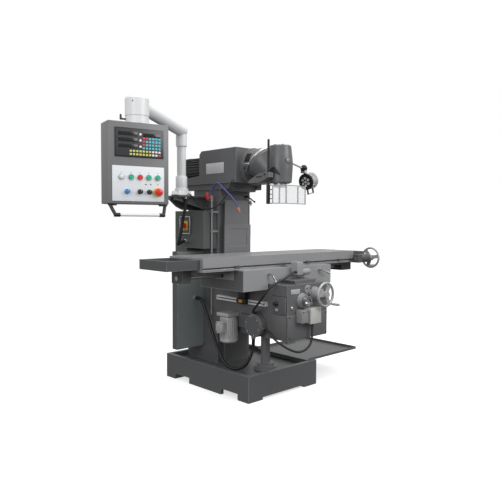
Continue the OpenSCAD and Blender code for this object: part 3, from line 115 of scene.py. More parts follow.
def soft_light(name, place, aim, size, watts):
    """A square area light at place that faces the point aim."""
    data = bpy.data.lights.new(name, "AREA")
    data.size = size
    data.energy = watts
    light = bpy.data.objects.new(name, data)
    way = np.array(aim, float) - np.array(place, float)
    flat = math.hypot(way[0], way[1])
    light.matrix_world = (
        Matrix.Translation(place)
        @ Matrix.Rotation(math.atan2(-way[0], way[1]), 4, "Z")
        @ Matrix.Rotation(math.pi / 2 + math.atan2(way[2], flat), 4, "X")
    )
    bpy.context.collection.objects.link(light)


soft_light("key", (1.6, -4.6, 3.4), (0, -0.2, 1.0), 2.6, 110)
soft_light("left", (-4.8, -1.8, 2.2), (0, 0, 1.1), 2.4, 62)
soft_light("top", (-0.4, -0.6, 5.2), (0, -0.1, 0.9), 3.0, 60)

# Floor: one pale matt sheet under the feet, with a little light of its own so that it runs into the white
# surround. Only the camera sees it, so it throws no light up at the castings.
floor_reach, floor_z = 30.0, float(cad_low[2]) - 0.0005
floor_tone = 0.62
square = ((-1, -1), (1, -1), (1, 1), (-1, 1))
floor_mesh = bpy.data.meshes.new("floor")
floor_mesh.from_pydata([(x * floor_reach, y * floor_reach, floor_z) for x, y in square], [], [(0, 1, 2, 3)])
floor_white = bpy.data.materials.new("floor_white")
floor_white.use_nodes = True
set_inputs(floor_white.node_tree.nodes["Principled BSDF"], {
    "Base Color": (floor_tone, floor_tone, floor_tone, 1),
    "Roughness": 0.9,
    "Specular IOR Level": 0.0,
    "Emission Color": (1, 1, 1, 1),
    "Emission Strength": floor_tone,
})
floor_mesh.materials.append(floor_white)
floor = bpy.data.objects.new("floor", floor_mesh)
floor.visible_diffuse = False
floor.visible_glossy = False
bpy.context.collection.objects.link(floor)
floor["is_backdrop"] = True


# Floor base: a cast-iron box painted dark grey, with a shallow chip basin on top and four feet.
# The paint has a fine orange-peel skin and slow changes of tone, and its edges carry a painted highlight that
# makes them a little lighter.
def finish(
    name, rgb, rough, metal=0.0, tone=0.10, grain=260.0, skin=0.10, stretch=(1, 1, 1), edge=0.0, coat=0.0
):
    """A material on Object coordinates: slow noise shifts the tone, fine noise gives grain to roughness
    and bump. stretch scales the fine noise along each axis. edge paints a highlight on edges by mixing
    them towards a pale grey; they are found where the normal of a rounded edge leaves the flat one."""
    mat = bpy.data.materials.new(name)
    mat.use_nodes = True
    new = mat.node_tree.nodes.new
    link = mat.node_tree.links.new
    shader = mat.node_tree.nodes["Principled BSDF"]
    set_inputs(shader, {"Metallic": metal, "Coat Weight": coat})
    place = new("ShaderNodeTexCoord")
    slow = new("ShaderNodeTexNoise")
    set_inputs(slow, {"Scale": 5.0, "Detail": 6.0})
    link(place.outputs["Object"], slow.inputs["Vector"])
    turn = new("ShaderNodeMapping")
    set_inputs(turn, {"Scale": stretch})
    link(place.outputs["Object"], turn.inputs["Vector"])
    fine = new("ShaderNodeTexNoise")
    set_inputs(fine, {"Scale": grain, "Detail": 3.0})
    link(turn.outputs["Vector"], fine.inputs["Vector"])
    shade = new("ShaderNodeMix")
    shade.data_type = "RGBA"
    dark = [c * (1 - tone) for c in rgb]
    pale = [min(1, c * (1 + tone)) for c in rgb]
    set_inputs(shade, {"A": (*dark, 1), "B": (*pale, 1)})
    link(slow.outputs["Fac"], shade.inputs["Factor"])
    colour = shade.outputs["Result"]
    # Painted highlight: where the Bevel normal leaves the flat one, the colour is mixed towards pale grey.
    if edge > 0:
        round_off = new("ShaderNodeBevel")
        round_off.samples = 4
        set_inputs(round_off, {"Radius": 0.006})
        flat = new("ShaderNodeNewGeometry")
        agree = new("ShaderNodeVectorMath")
        agree.operation = "DOT_PRODUCT"
        link(round_off.outputs["Normal"], agree.inputs[0])
        link(flat.outputs["Normal"], agree.inputs[1])
        edge_highlight_amount = new("ShaderNodeMapRange")
        set_inputs(edge_highlight_amount, {"From Min": 0.97, "From Max": 0.80, "To Max": edge})
        link(agree.outputs["Value"], edge_highlight_amount.inputs["Value"])
        edge_highlight_mix = new("ShaderNodeMix")
        edge_highlight_mix.data_type = "RGBA"
        set_inputs(edge_highlight_mix, {"B": (0.55, 0.55, 0.56, 1)})
        link(edge_highlight_amount.outputs["Result"], edge_highlight_mix.inputs["Factor"])
        link(colour, edge_highlight_mix.inputs["A"])
        colour = edge_highlight_mix.outputs["Result"]
    link(colour, shader.inputs["Base Color"])
    gloss = new("ShaderNodeMapRange")
    set_inputs(gloss, {"To Min": max(0.03, rough - 0.07), "To Max": rough + 0.07})
    link(fine.outputs["Fac"], gloss.inputs["Value"])
    link(gloss.outputs["Result"], shader.inputs["Roughness"])
    if skin > 0:
        bump = new("ShaderNodeBump")
        set_inputs(bump, {"Strength": skin, "Distance": 0.001})
        link(fine.outputs["Fac"], bump.inputs["Height"])
        link(bump.outputs["Normal"], shader.inputs["Normal"])
    return mat


def dress(mat, *names):
    """Puts a material in every slot of the named CAD nodes."""
    for name in names:
        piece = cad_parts[name]
        if not piece.material_slots:
            piece.data.materials.append(mat)
        for held in piece.material_slots:
            held.material = mat


machine_grey = finish("machine_grey_paint", (0.105, 0.107, 0.111), 0.40, skin=0.12, edge=0.50)
dress(machine_grey, "base_casting")

# Chip tray: folded sheet steel, hooked over the base's right rim.
# It is painted in nearly the same grey, smoother than the castings because sheet has no casting skin.
tray_grey = finish("tray_grey_paint", (0.110, 0.112, 0.116), 0.36, tone=0.12, skin=0.06, edge=0.45)
dress(tray_grey, "chip_tray")

# Column: a hollow painted casting that stands on the base, with the ram's slide block on top of it.
# The front of its dovetail slideway is scraped iron, and a small steel lock clamps the ram's gib.
UP, RIGHT = (0, 0, 1), (1, 0, 0)
dress(machine_grey, "column", "ram_guide")


def put(name, shape, mat, body, smooth=40):
    """Makes a piece from a shape's vertices and faces, merges doubled points, turns its faces outwards,
    and rides it on a body. Edges sharper than the angle smooth stay hard."""
    verts, faces = shape
    mesh = bpy.data.meshes.new(name)
    mesh.from_pydata(np.asarray(verts, float).reshape(-1, 3).tolist(), [], faces)
    work = bmesh.new()
    work.from_mesh(mesh)
    bmesh.ops.remove_doubles(work, verts=work.verts, dist=1e-6)
    bmesh.ops.recalc_face_normals(work, faces=work.faces)
    work.to_mesh(mesh)
    work.free()
    mesh.shade_smooth()
    mesh.set_sharp_from_angle(angle=math.radians(smooth))
    mesh.materials.append(mat)
    piece = bpy.data.objects.new(name, mesh)
    bpy.context.collection.objects.link(piece)
    if body:
        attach(piece, body)
    return piece


def grid_faces(rows, columns, wrap=True, caps=True):
    """Quads of a grid of rows x columns points. wrap joins the last column to the first, and caps closes
    the first and the last row with one face each."""
    i = np.arange(rows - 1)[:, None] * columns
    j = np.arange(columns if wrap else columns - 1)[None, :]
    k = (j + 1) % columns
    faces = np.stack([i + j, i + k, i + columns + k, i + columns + j], -1).reshape(-1, 4).tolist()
    if caps:
        faces += [list(range(columns)), list(range((rows - 1) * columns, rows * columns))]
    return faces


def slab(low, high, r, arcs=3):
    """A box with round edges: each direction of a sphere of radius r is pushed out to the corner that it
    points to."""
    low, high = np.array(low, float), np.array(high, float)
    half = (high - low) / 2
    r = min(r, half.min() * 0.999)
    step = np.linspace(0, math.pi / 2, arcs + 1)
    around = np.concatenate([q * math.pi / 2 + step for q in range(4)])
    side = np.repeat(np.arange(4), arcs + 1)
    sx = np.where((side == 0) | (side == 3), 1, -1)
    sy = np.where(side < 2, 1, -1)
    rise = np.concatenate([-step[::-1], step])
    sz = np.repeat([-1, 1], arcs + 1)
    x = sx[None, :] * (half[0] - r) + r * np.cos(rise)[:, None] * np.cos(around)[None, :]
    y = sy[None, :] * (half[1] - r) + r * np.cos(rise)[:, None] * np.sin(around)[None, :]
    z = (sz * (half[2] - r) + r * np.sin(rise))[:, None] + 0 * x
    return np.stack([x, y, z], -1).reshape(-1, 3) + (low + high) / 2, grid_faces(*x.shape)


def turned(profile, at, axis=UP, sides=48):
    """A lathe form: the profile of (radius, height) pairs is carried round the axis through the point at.
    A profile that comes back to its first pair makes a ring; any other is capped at both ends."""
    profile = np.array(profile, float)
    axis = np.array(axis, float) / np.linalg.norm(axis)
    first = np.cross(axis, UP if abs(axis[2]) < 0.9 else RIGHT)
    first /= np.linalg.norm(first)
    second = np.cross(axis, first)
    angle = np.arange(sides) * math.tau / sides
    ring = np.cos(angle)[:, None] * first + np.sin(angle)[:, None] * second
    verts = np.array(at, float) + profile[:, 0, None, None] * ring[None] + profile[:, 1, None, None] * axis
    closed = np.allclose(profile[0], profile[-1])
    return verts.reshape(-1, 3), grid_faces(len(profile), sides, caps=not closed)


def rod(r, length, at, axis=UP, sides=16):
    """A plain round bar of radius r, from the point at along the axis."""
    return turned([(0, 0), (r, 0), (r, length), (0, length)], at, axis, sides)


def joined(*shapes):
    """Several shapes as one: the vertices in a row, each face counted on from the shapes before it."""
    verts, faces, count = [], [], 0
    for v, f in shapes:
        verts.append(np.asarray(v, float))
        faces += [[k + count for k in face] for face in f]
        count += len(v)
    return np.concatenate(verts), faces


bright_steel = finish("bright_steel", (0.62, 0.62, 0.63), 0.24, metal=1.0, tone=0.06, grain=320, skin=0.04)
way_iron = finish("scraped_way", (0.185, 0.187, 0.193), 0.34, grain=160, skin=0.05, stretch=(3, 3, 0.2))
lock_y = 0.085
lock_shape = [
    (0, 0), (0.0075, 0), (0.0075, 0.018), (0.011, 0.019), (0.011, 0.028), (0.008, 0.030), (0, 0.030),
]
lock_knob = turned(lock_shape, (0.170, lock_y, 1.415), RIGHT, 20)
lock_bar = rod(0.005, 0.044, (0.193, lock_y, 1.393), UP, 14)
put("gib_lock", joined(lock_knob, lock_bar), bright_steel, "frame")
way_strip = slab((-0.123, 0.0440, 1.236), (0.123, 0.0456, 1.428), 0.0005, 1)
put("way_face", way_strip, way_iron, "frame")

# Electrical cabinet: a folded sheet-steel box on the column's left, with a trunk and a lower panel box.
# The cabinet and the panel box's cover share one dark paint; the cover's copy is made paler, which is painted
# light.
cabinet_grey = finish("cabinet_grey_paint", (0.088, 0.096, 0.095), 0.46, tone=0.08, edge=0.30)
# Painted light: the panel's colour is the cabinet's colour scaled up about 2.5 times.
panel_painted_light_grey = finish("panel_painted_light_grey_paint", (0.225, 0.246, 0.246), 0.44, tone=0.08, edge=0.30)
dress(cabinet_grey, "electrical_cabinet")
dress(panel_painted_light_grey, "cabinet_panel")

# Main switch: a yellow plastic plate in a bright steel frame, both flat on the cabinet's left face.
# Its red knob is a CAD node, and so is the coolant valve's handle of the same plastic.
yellow_plastic = finish("yellow_plastic", (0.72, 0.50, 0.03), 0.40, tone=0.05, grain=400, skin=0.03)
red_plastic = finish("red_plastic", (0.72, 0.022, 0.022), 0.30, tone=0.08, grain=400, skin=0.03, coat=0.3)
switch_x, plate_x, rim_x = -0.3115, -0.3095, -0.3075
sill, lintel, near, far, half = 1.166, 1.299, 0.251, 0.379, 0.004
switch_plate = slab((switch_x, 0.279, 1.194), (plate_x, 0.351, 1.266), 0.0009)
put("switch_plate", switch_plate, yellow_plastic, "frame")
rim_near, rim_far = near - 0.002, far + 0.002
rim = [slab((switch_x, rim_near, z - half), (rim_x, rim_far, z + half), 0.0015) for z in (sill, lintel)]
rim += [slab((switch_x, y - half, sill), (rim_x, y + half, lintel), 0.0015) for y in (near, far)]
put("switch_frame", joined(*rim), bright_steel, "frame")
dress(red_plastic, "main_switch_knob", "coolant_valve")

# Cabinet fittings: a turned, nickel-plated connector where the pendant's conduit goes in, and the socket
# screws that hold the panel box's cover down both of its edges.
LEFT, FRONT = (-1, 0, 0), (0, -1, 0)


def screw_heads(places, axis, r, h):
    """Round socket screws: a short turned head with a sunk socket at each place."""
    head = [(0, 0), (r, 0), (r, h * 0.8), (r * 0.86, h), (r * 0.5, h), (r * 0.46, h * 0.5), (0, h * 0.5)]
    return joined(*[turned(head, p, axis, 12) for p in places])


connector = [
    (0, 0), (0.0205, 0), (0.0205, 0.008), (0.017, 0.009), (0.017, 0.020), (0.0145, 0.022), (0, 0.022),
]
put("cabinet_connector", turned(connector, (-0.300, 0.302, 1.106), LEFT), bright_steel, "frame")
cover_edges, cover_y = (-0.182, -0.425), 0.2449
cover_places = [(x, cover_y, z) for x in cover_edges for z in np.linspace(0.279, 1.016, 4)]
put("cover_screws", screw_heads(cover_places, FRONT, 0.006, 0.004), bright_steel, "frame")

# Access covers: thin painted plates over the openings in the column's back and right side.
# Each is held by a black socket screw near every corner.
BACK = (0, 1, 0)
bolt_and_painted_shade_black = finish("bolt_and_painted_shade_black", (0.022, 0.022, 0.024), 0.35, metal=0.6, skin=0.03)


def cover(low, high, axis, edge=0.0015, head=(0.006, 0.0035), inset=0.016):
    """A plate with round edges, and the screws that lie inset from its four corners, on the face that
    looks along the axis."""
    low, high, axis = np.array(low), np.array(high), np.array(axis)
    first, second = np.flatnonzero(axis == 0)
    places = np.zeros((4, 3)) + axis * (max(low @ axis, high @ axis) - 0.0001)
    places[:, first] = np.repeat((low[first] + inset, high[first] - inset), 2)
    places[:, second] = np.tile((low[second] + inset, high[second] - inset), 2)
    return slab(low, high, edge), screw_heads(places, axis, *head)


for name, low, high, axis in (
    ("column_rear_cover", (-0.125, 0.4535, 0.420), (0.125, 0.4590, 1.180), BACK),
    ("column_side_cover", (0.1685, 0.165, 0.560), (0.1740, 0.370, 0.960), RIGHT),
):
    plate, heads = cover(low, high, axis)
    put(name, plate, machine_grey, "frame")
    put(name + "_screws", heads, bolt_and_painted_shade_black, "frame")

# Pendant bracket and post: two dark gusset plates under a shelf on the column, and on the shelf a white
# cast flange with four bolts that carries a collar and a tube. A steel gland takes the conduit below.
DOWN = (0, 0, -1)
white_coat = finish("white_paint", (0.80, 0.81, 0.82), 0.34, tone=0.04, grain=300, skin=0.06, edge=0.15)
POST = np.array((-0.400, 0.238))
wall_x, tip_x, gusset_low, gusset_top, shelf_top = -0.170, -0.460, 1.353, 1.449, 1.461


def prism(outline, axis, low, high):
    """A plate: the outline of points in the plane square to axis is carried from low to high along it."""
    n = len(outline)
    verts = np.zeros((2, n, 3))
    verts[:, :, [k for k in range(3) if k != axis]] = np.array(outline, float)[None]
    verts[0, :, axis] = low
    verts[1, :, axis] = high
    return verts.reshape(-1, 3), grid_faces(2, n)


def soft_rectangles(rings, at, sides=64):
    """A loft of rectangles with round corners, one for each (half width, half depth, height). The corner
    is the signed square root of the cosine and the sine of a full turn."""
    rings = np.array(rings)
    angle = np.arange(sides) * math.tau / sides
    corner = np.stack([np.sign(f) * np.abs(f) ** 0.5 for f in (np.cos(angle), np.sin(angle))], -1)
    verts = np.zeros((len(rings), sides, 3))
    verts[:, :, :2] = rings[:, None, :2] * corner[None]
    verts[:, :, 2] = rings[:, None, 2]
    return verts.reshape(-1, 3) + at, grid_faces(len(rings), sides)


def gland(r, length, at, axis, sides=48):
    """A cable gland: a wide nut and a neck 2 mm slimmer."""
    neck = r - 0.002
    nut_shape = [(0, 0), (r, 0), (r, 0.006), (neck, 0.007), (neck, length), (0, length)]
    return turned(nut_shape, at, axis, sides)


front_line = [(wall_x, gusset_low), (wall_x, gusset_top), (tip_x, gusset_top), (tip_x, 1.427)]
rear_line = front_line[:3] + [(tip_x, 1.435), (-0.388, 1.377), (-0.330, gusset_low)]
gussets = [prism(front_line, 1, 0.218, 0.258), prism(rear_line, 1, 0.300, 0.330)]
shelf = slab((tip_x, 0.188, gusset_top), (wall_x, 0.330, shelf_top), 0.002)
put("pendant_bracket", joined(*gussets, shelf), machine_grey, "frame", 30)
post_foot = shelf_top + 0.024
post_shape = [
    (0, 0), (0.052, 0), (0.052, 0.026), (0.049, 0.030), (0.044, 0.031), (0.044, 0.118), (0.041, 0.122),
    (0.034, 0.123), (0.034, 0.3495), (0, 0.3495),
]
flange_rings = [
    (0.071, 0.051, 0), (0.075, 0.055, 0.002), (0.075, 0.055, 0.010), (0.072, 0.053, 0.013),
    (0.057, 0.051, 0.031), (0.051, 0.049, 0.036),
]
flange = soft_rectangles(flange_rings, (*POST, shelf_top))
post_shapes = joined(flange, turned(post_shape, (*POST, post_foot)))
post = put("pendant_post_tube", post_shapes, white_coat, "frame")
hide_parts("pendant_post")
bolt_places = [(*(POST + (x, y)), post_foot - 0.0001) for x in (-0.055, 0.055) for y in (-0.035, 0.035)]
put("flange_bolts", screw_heads(bolt_places, UP, 0.008, 0.008), bright_steel, "frame")
put("bracket_gland", gland(0.0165, 0.0145, (-0.385, 0.203, 1.4495), DOWN), bright_steel, "frame")

# Pendant arm: a bent steel tube with a cast bell on its end, both painted white, that turns on the post.
# A small black set screw in the bell's side looks at the operator.
dress(white_coat, "pendant_arm")
# One black serves for the set screw, engraved lines, seams and print, and also as painted shade in pockets,
# hollows and slots.
black_marks_and_painted_shade = finish("black_marks_and_painted_shade", (0.012, 0.012, 0.012), 0.5, tone=0.05, skin=0)
screw_turn = math.radians(-142.9)
screw_way = np.array((math.cos(screw_turn), math.sin(screw_turn), 0))
bell_centre, bell_radius = np.array((-0.9496, -0.0101, 2.0467)), 0.0797
bell_screw = rod(0.004, 0.0012, bell_centre + bell_radius * screw_way, screw_way)
put("bell_screw", bell_screw, black_marks_and_painted_shade, "arm")

# Hoses and cables: black ribbed plastic conduits pushed into glands, and a thin rubber cable to the lamp.
# Each follows the route of its solid, in millimetres; those that cross a slide ride on no body and stay where
# they are built.
conduit_black = finish("conduit_black", (0.012, 0.012, 0.013), 0.42, tone=0.15, grain=300, skin=0.05)
cable_black = finish("cable_black", (0.010, 0.010, 0.011), 0.50, tone=0.15, grain=500, skin=0.05)


def smooth_route(points, count):
    """A smooth line through the points, as the solid's own line: a cubic through each pair and its
    neighbours, in metres."""
    p = np.array(points, float) / 1000
    p = np.concatenate([[2 * p[0] - p[1]], p, [2 * p[-1] - p[-2]]])
    s = np.linspace(0, len(points) - 1, count)
    i = np.minimum(s.astype(int), len(points) - 2)
    t = (s - i)[:, None]
    a, b, c, d = p[i], p[i + 1], p[i + 2], p[i + 3]
    return 0.5 * (2 * b + (c - a) * t + (2 * a - 5 * b + 4 * c - d) * t**2 + (3 * b - a - 3 * c + d) * t**3)


def sleeve(line, radius, sides=14):
    """A tube: a ring of the given radius is carried along the line, turning as little as it can."""
    line = np.asarray(line, float)
    way = np.gradient(line, axis=0)
    way /= np.linalg.norm(way, axis=1)[:, None]
    side = np.cross(way[0], UP if abs(way[0][2]) < 0.8 else RIGHT)
    across = []
    for w in way:
        side = side - w * (side @ w)
        side = side / np.linalg.norm(side)
        across.append(side)
    across = np.array(across)
    other = np.cross(way, across)
    angle = np.arange(sides) * math.tau / sides
    ring = np.cos(angle)[None, :, None] * across[:, None] + np.sin(angle)[None, :, None] * other[:, None]
    verts = line[:, None] + np.broadcast_to(radius, len(line))[:, None, None] * ring
    return verts.reshape(-1, 3), grid_faces(len(line), sides)


def run_length(line):
    """Length of a line of points."""
    return float(np.linalg.norm(np.diff(line, axis=0), axis=1).sum())


def conduit(name, node, points, d, rib, body, other=None):
    """A ribbed hose: the radius swells and shrinks once for each rib along the route. With an other body
    it rides on no body and stays where it is built."""
    ribs = max(6, round(run_length(smooth_route(points, 400)) / rib))
    line = smooth_route(points, ribs * 4 + 1)
    wave = np.cos(np.linspace(0, ribs * math.tau, len(line)))
    radius = d / 2 * (0.93 - 0.07 * wave)
    piece = put(name, sleeve(line, radius), conduit_black, None if other else body, 70)
    if other:
        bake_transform(piece)
    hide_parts(node)


pendant_route = [
    (-385, 203, 1436), (-385, 203, 1408), (-386, 205, 1380), (-389, 212, 1345), (-392, 226, 1300),
    (-393, 240, 1240), (-394, 254, 1180), (-396, 270, 1130), (-393, 288, 1096), (-380, 300, 1087),
    (-360, 302, 1097), (-340, 302, 1106), (-312, 302, 1106),
]
power_route = [
    (-262, 231, 660), (-262, 203, 660), (-262, 174, 654), (-270, 130, 620), (-280, 70, 540), (-290, 0, 430),
    (-300, -80, 310), (-308, -160, 228), (-314, -240, 200), (-312, -320, 208), (-305, -390, 250),
    (-292, -430, 320), (-282, -440, 380), (-278, -440, 415), (-278, -440, 438),
]
knee_route = [
    (10, -736, 545), (10, -736, 520), (8, -738, 490), (0, -742, 450), (-20, -744, 410), (-55, -744, 385),
    (-95, -740, 372), (-140, -730, 372), (-185, -715, 388), (-222, -690, 412), (-246, -650, 440),
    (-256, -605, 470), (-256, -572, 495), (-256, -548, 508), (-256, -534, 512), (-256, -522, 512),
]
limit_route = [
    (0, -592, 905), (-18, -592, 905), (-45, -596, 900), (-90, -604, 886), (-140, -612, 870),
    (-190, -616, 856), (-235, -614, 842), (-275, -604, 818), (-300, -585, 785), (-310, -560, 745),
    (-310, -520, 700), (-304, -480, 662), (-294, -452, 638), (-280, -440, 625), (-264, -438, 622),
    (-246, -438, 622),
]
wide, slim = (0.026, 0.007), (0.016, 0.005)
conduit("pendant_conduit_hose", "pendant_conduit", pendant_route, *wide, "frame")
conduit("power_conduit_hose", "power_conduit", power_route, *wide, "frame", "knee")
conduit("knee_conduit_hose", "knee_conduit", knee_route, *slim, "knee")
conduit("limit_conduit_hose", "limit_conduit", limit_route, *slim, "saddle", "knee")
lamp_route = [
    (-380, 188, 1473), (-380, 174, 1473), (-378, 162, 1469), (-370, 152, 1455), (-352, 146, 1430),
    (-326, 142, 1404), (-300, 134, 1384), (-278, 118, 1370), (-262, 92, 1363), (-250, 60, 1363),
    (-236, 28, 1374), (-222, -4, 1398), (-212, -38, 1432), (-207, -70, 1472), (-206, -97, 1512),
    (-206, -112, 1544), (-203, -119, 1562), (-195, -120, 1570), (-185.6, -120, 1570),
]
lamp_line = smooth_route(lamp_route, 220)
lead_d = 0.008
lamp_lead = put("lamp_lead", sleeve(lamp_line, lead_d / 2, 12), cable_black, None, 70)
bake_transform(lamp_lead)
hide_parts("lamp_cable")

# Coolant hose: ball-and-socket segments of violet plastic, snapped together and ending in an orange nozzle.
# It stands on a zinc-plated riser pipe, to which a brass nut holds it.
hose_violet = finish("hose_violet", (0.070, 0.062, 0.205), 0.40, tone=0.12, grain=300, skin=0.04)
nozzle_orange = finish("nozzle_orange", (0.62, 0.17, 0.05), 0.40, tone=0.06, grain=300, skin=0.03)
pipe_zinc = finish("pipe_zinc", (0.30, 0.305, 0.31), 0.36, metal=0.5, tone=0.08, grain=240, skin=0.04)
brass = finish("brass", (0.52, 0.36, 0.12), 0.30, metal=1.0, tone=0.08, grain=300, skin=0.03)
hose_route = [
    (-228, 80, 1462), (-228, 79, 1482), (-228, 70, 1512), (-228, 53, 1538), (-228, 28, 1554), (-228, 2, 1552),
    (-228, -24, 1537), (-228, -58, 1511), (-228, -94, 1485), (-228, -130, 1459), (-228, -166, 1430),
    (-228, -196, 1396), (-228, -222, 1360),
]
hose_line = smooth_route(hose_route, 401)
hose_d, bead_length = 0.017, 0.016
beads = round(run_length(hose_line) / bead_length)
phase = np.linspace(0, beads, len(hose_line)) % 1
bead_radius = hose_d / 2 * (0.74 + 0.26 * np.sin(math.pi * np.clip(phase * 1.15, 0, 1)) ** 0.6)
tip_way = hose_line[-1] - hose_line[-4]
nozzle_shape = [
    (0, -0.004), (0.0088, -0.004), (0.0088, 0.006), (0.0074, 0.008), (0.0040, 0.033), (0.0028, 0.034),
    (0.0026, 0.020), (0, 0.020),
]
nozzle_turned = turned(nozzle_shape, hose_line[-1], tip_way)
nozzle = put("coolant_nozzle", nozzle_turned, nozzle_orange, "frame")
hose = put("coolant_hose_beads", sleeve(hose_line, bead_radius, 16), hose_violet, "frame", 70)
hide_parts("coolant_hose")
dress(pipe_zinc, "coolant_pipe")
nut_shape = [(0, 0), (0.0118, 0), (0.0118, 0.012), (0.0095, 0.014), (0, 0.014)]
put("valve_nut", turned(nut_shape, (-0.228, 0.080, 1.449), UP, 6), brass, "frame")

# Ram: a painted box casting that slides in the column's slide block, locked by a black plastic lever.
# A bare metal plate sits on its left side and a screwed access cover on its right.
dress(machine_grey, "ram_casting")
black_plastic = finish("black_plastic", (0.014, 0.014, 0.015), 0.34, grain=400, skin=0.04)
dress(black_plastic, "ram_lock_lever")
plate_white = finish("badge_plate", (0.55, 0.55, 0.56), 0.32, metal=0.4, tone=0.05, grain=300, skin=0.03)
badge = slab((-0.1875, -0.010, 1.634), (-0.1848, 0.200, 1.716), 0.0012)
put("badge_plate", badge, plate_white, "ram")
plate, heads = cover((0.1835, -0.060, 1.605), (0.1890, 0.210, 1.760), RIGHT)
put("ram_side_cover", plate, machine_grey, "ram")
put("ram_cover_screws", heads, bolt_and_painted_shade_black, "ram")

# Drive motor: a black finned casting on the ram's rear end, with a pressed fan cover behind.
# Raised ribs round the axis make the cover's grille; the steel shaft inside runs forward to the head.
motor_black = finish("motor_black", (0.020, 0.020, 0.022), 0.45, tone=0.15, grain=220, skin=0.12, edge=0.15)
dress(motor_black, "drive_motor")
dress(bright_steel, "drive_shaft")
RAM_AXIS = 1.682
fan_centre = np.array((0, 0.650, RAM_AXIS))


def turned_about(shape, centre, axis, angle):
    """A shape turned by an angle about an axis through a centre."""
    verts, faces = shape
    turn = np.array(Matrix.Rotation(angle, 3, axis))
    return (np.asarray(verts) - centre) @ turn.T + centre, faces


ribs = []
for r in (0.024, 0.070):
    ribs.append(slab(fan_centre + (-0.004, -0.001, r), fan_centre + (0.004, 0.003, r + 0.040), 0.001))
grille = [turned_about(rib, fan_centre, "Y", a) for rib in ribs for a in np.radians(np.arange(0, 360, 20))]
put("fan_grille", joined(*grille), motor_black, "ram")

# First swivel: a grey casting that turns on the ram's nose and carries the inclined joint of the head.
# The joint has a bright steel ring with engraved lines, and two steel studs clamp the nose.
dress(machine_grey, "swivel_knuckle")
TILT = np.array((0, -0.265, 1.715))
tilt_axis = np.array((0, -1, -1)) / math.sqrt(2)
ring_r = 0.1374


def marks(at, axis, r, height, count, width):
    """Engraved lines round a ring of radius r: thin slabs along the axis, every fifth one longer."""
    axis = np.array(axis, float) / np.linalg.norm(axis)
    first = np.cross(axis, RIGHT if abs(axis[0]) < 0.9 else UP)
    first /= np.linalg.norm(first)
    second = np.cross(axis, first)
    k = np.arange(count)
    cos, sin = np.cos(k * math.tau / count)[:, None], np.sin(k * math.tau / count)[:, None]
    out = cos * first + sin * second
    along = (cos * second - sin * first) * width
    reach = axis * height * np.where(k % 5 == 0, 1.0, 0.55)[:, None]
    base = np.array(at, float) + out * (r + 0.0003)
    quad = [base - along, base + along, base + along + reach, base - along + reach]
    inner = [q - out * 0.0008 for q in quad]
    cell = [(0, 1, 2, 3), (7, 6, 5, 4), (0, 4, 5, 1), (1, 5, 6, 2), (2, 6, 7, 3), (3, 7, 4, 0)]
    faces = [[8 * n + c for c in f] for n in range(count) for f in cell]
    return np.stack(quad + inner, 1).reshape(-1, 3), faces


ring_shape = [(0.133, -0.014), (0.1368, -0.014), (ring_r, -0.013), (ring_r, -0.001), (0.1368, 0), (0.133, 0)]
put("swivel_ring", turned(ring_shape, TILT, tilt_axis, 120), bright_steel, "swivel")
put("swivel_marks", marks(TILT, -tilt_axis, ring_r, 0.010, 72, 0.0007), black_marks_and_painted_shade, "swivel")
nose_shape = [(0.130, 0), (0.1385, 0), (0.140, 0.0015), (0.140, 0.0065), (0.1385, 0.008), (0.130, 0.008)]
nose_ring = turned(nose_shape, (0, -0.1613, RAM_AXIS), FRONT, 96)
put("nose_ring", nose_ring, machine_grey, "swivel")
stud_shape = [
    (0, 0), (0.0095, 0), (0.0095, 0.006), (0.0066, 0.007), (0.0066, 0.062), (0.005, 0.064), (0, 0.064),
]
studs = [turned(stud_shape, (x, -0.1690, 1.690), FRONT, 16) for x in (-0.132, 0.132)]
put("clamp_studs", joined(*studs), bright_steel, "swivel")
# Painted shade: thin black prisms fill the knuckle's pockets on both sides, standing in for the shade in
# them.
pit_x = 0.0805
pit_line = [
    (pit_x, 1.7056), (0.124, 1.7056), (0.120, 1.730), (0.108, 1.750), (0.092, 1.7714), (pit_x, 1.7714),
]
lower_pit = [(-0.1708, 1.6675), (-0.2010, 1.6675), (-0.1708, 1.6373)]
pits = []
for side in (-1, 1):
    pits.append(prism([(side * x, z) for x, z in pit_line], 1, -0.2328, -0.1758))
    pits.append(prism(lower_pit, 0, *sorted((side * pit_x, side * 0.121))))
put("pocket_shade", joined(*pits), black_marks_and_painted_shade, "swivel")

# Milling head: a swelling barrel of painted cast iron, held to the inclined joint by four hexagon nuts.
# It has a round plug in front, a hollow on its left, a lug with a slot and bolt, and a screwed cap on top.
# The hollow and the lug's slot are drawn as thin black sheets of painted shade.
head_grey = finish("head_grey_paint", (0.128, 0.130, 0.134), 0.36, tone=0.12, skin=0.16, edge=0.45)
light_grey = finish("plug_grey_paint", (0.19, 0.192, 0.196), 0.36, tone=0.08, skin=0.06)
dress(head_grey, "milling_head")
SPINDLE_Y = -0.425
sixths = np.arange(6) * math.pi / 3


def nut(at, axis, r, h):
    """A hexagon nut with chamfered corners and the end of its stud."""
    body = turned([(0, 0), (r, 0), (r, h * 0.86), (r * 0.88, h), (0, h)], at, axis, 6)
    stud = turned([(0, h), (r * 0.5, h), (r * 0.5, h * 1.5), (r * 0.4, h * 1.6), (0, h * 1.6)], at, axis, 12)
    return joined(body, stud)


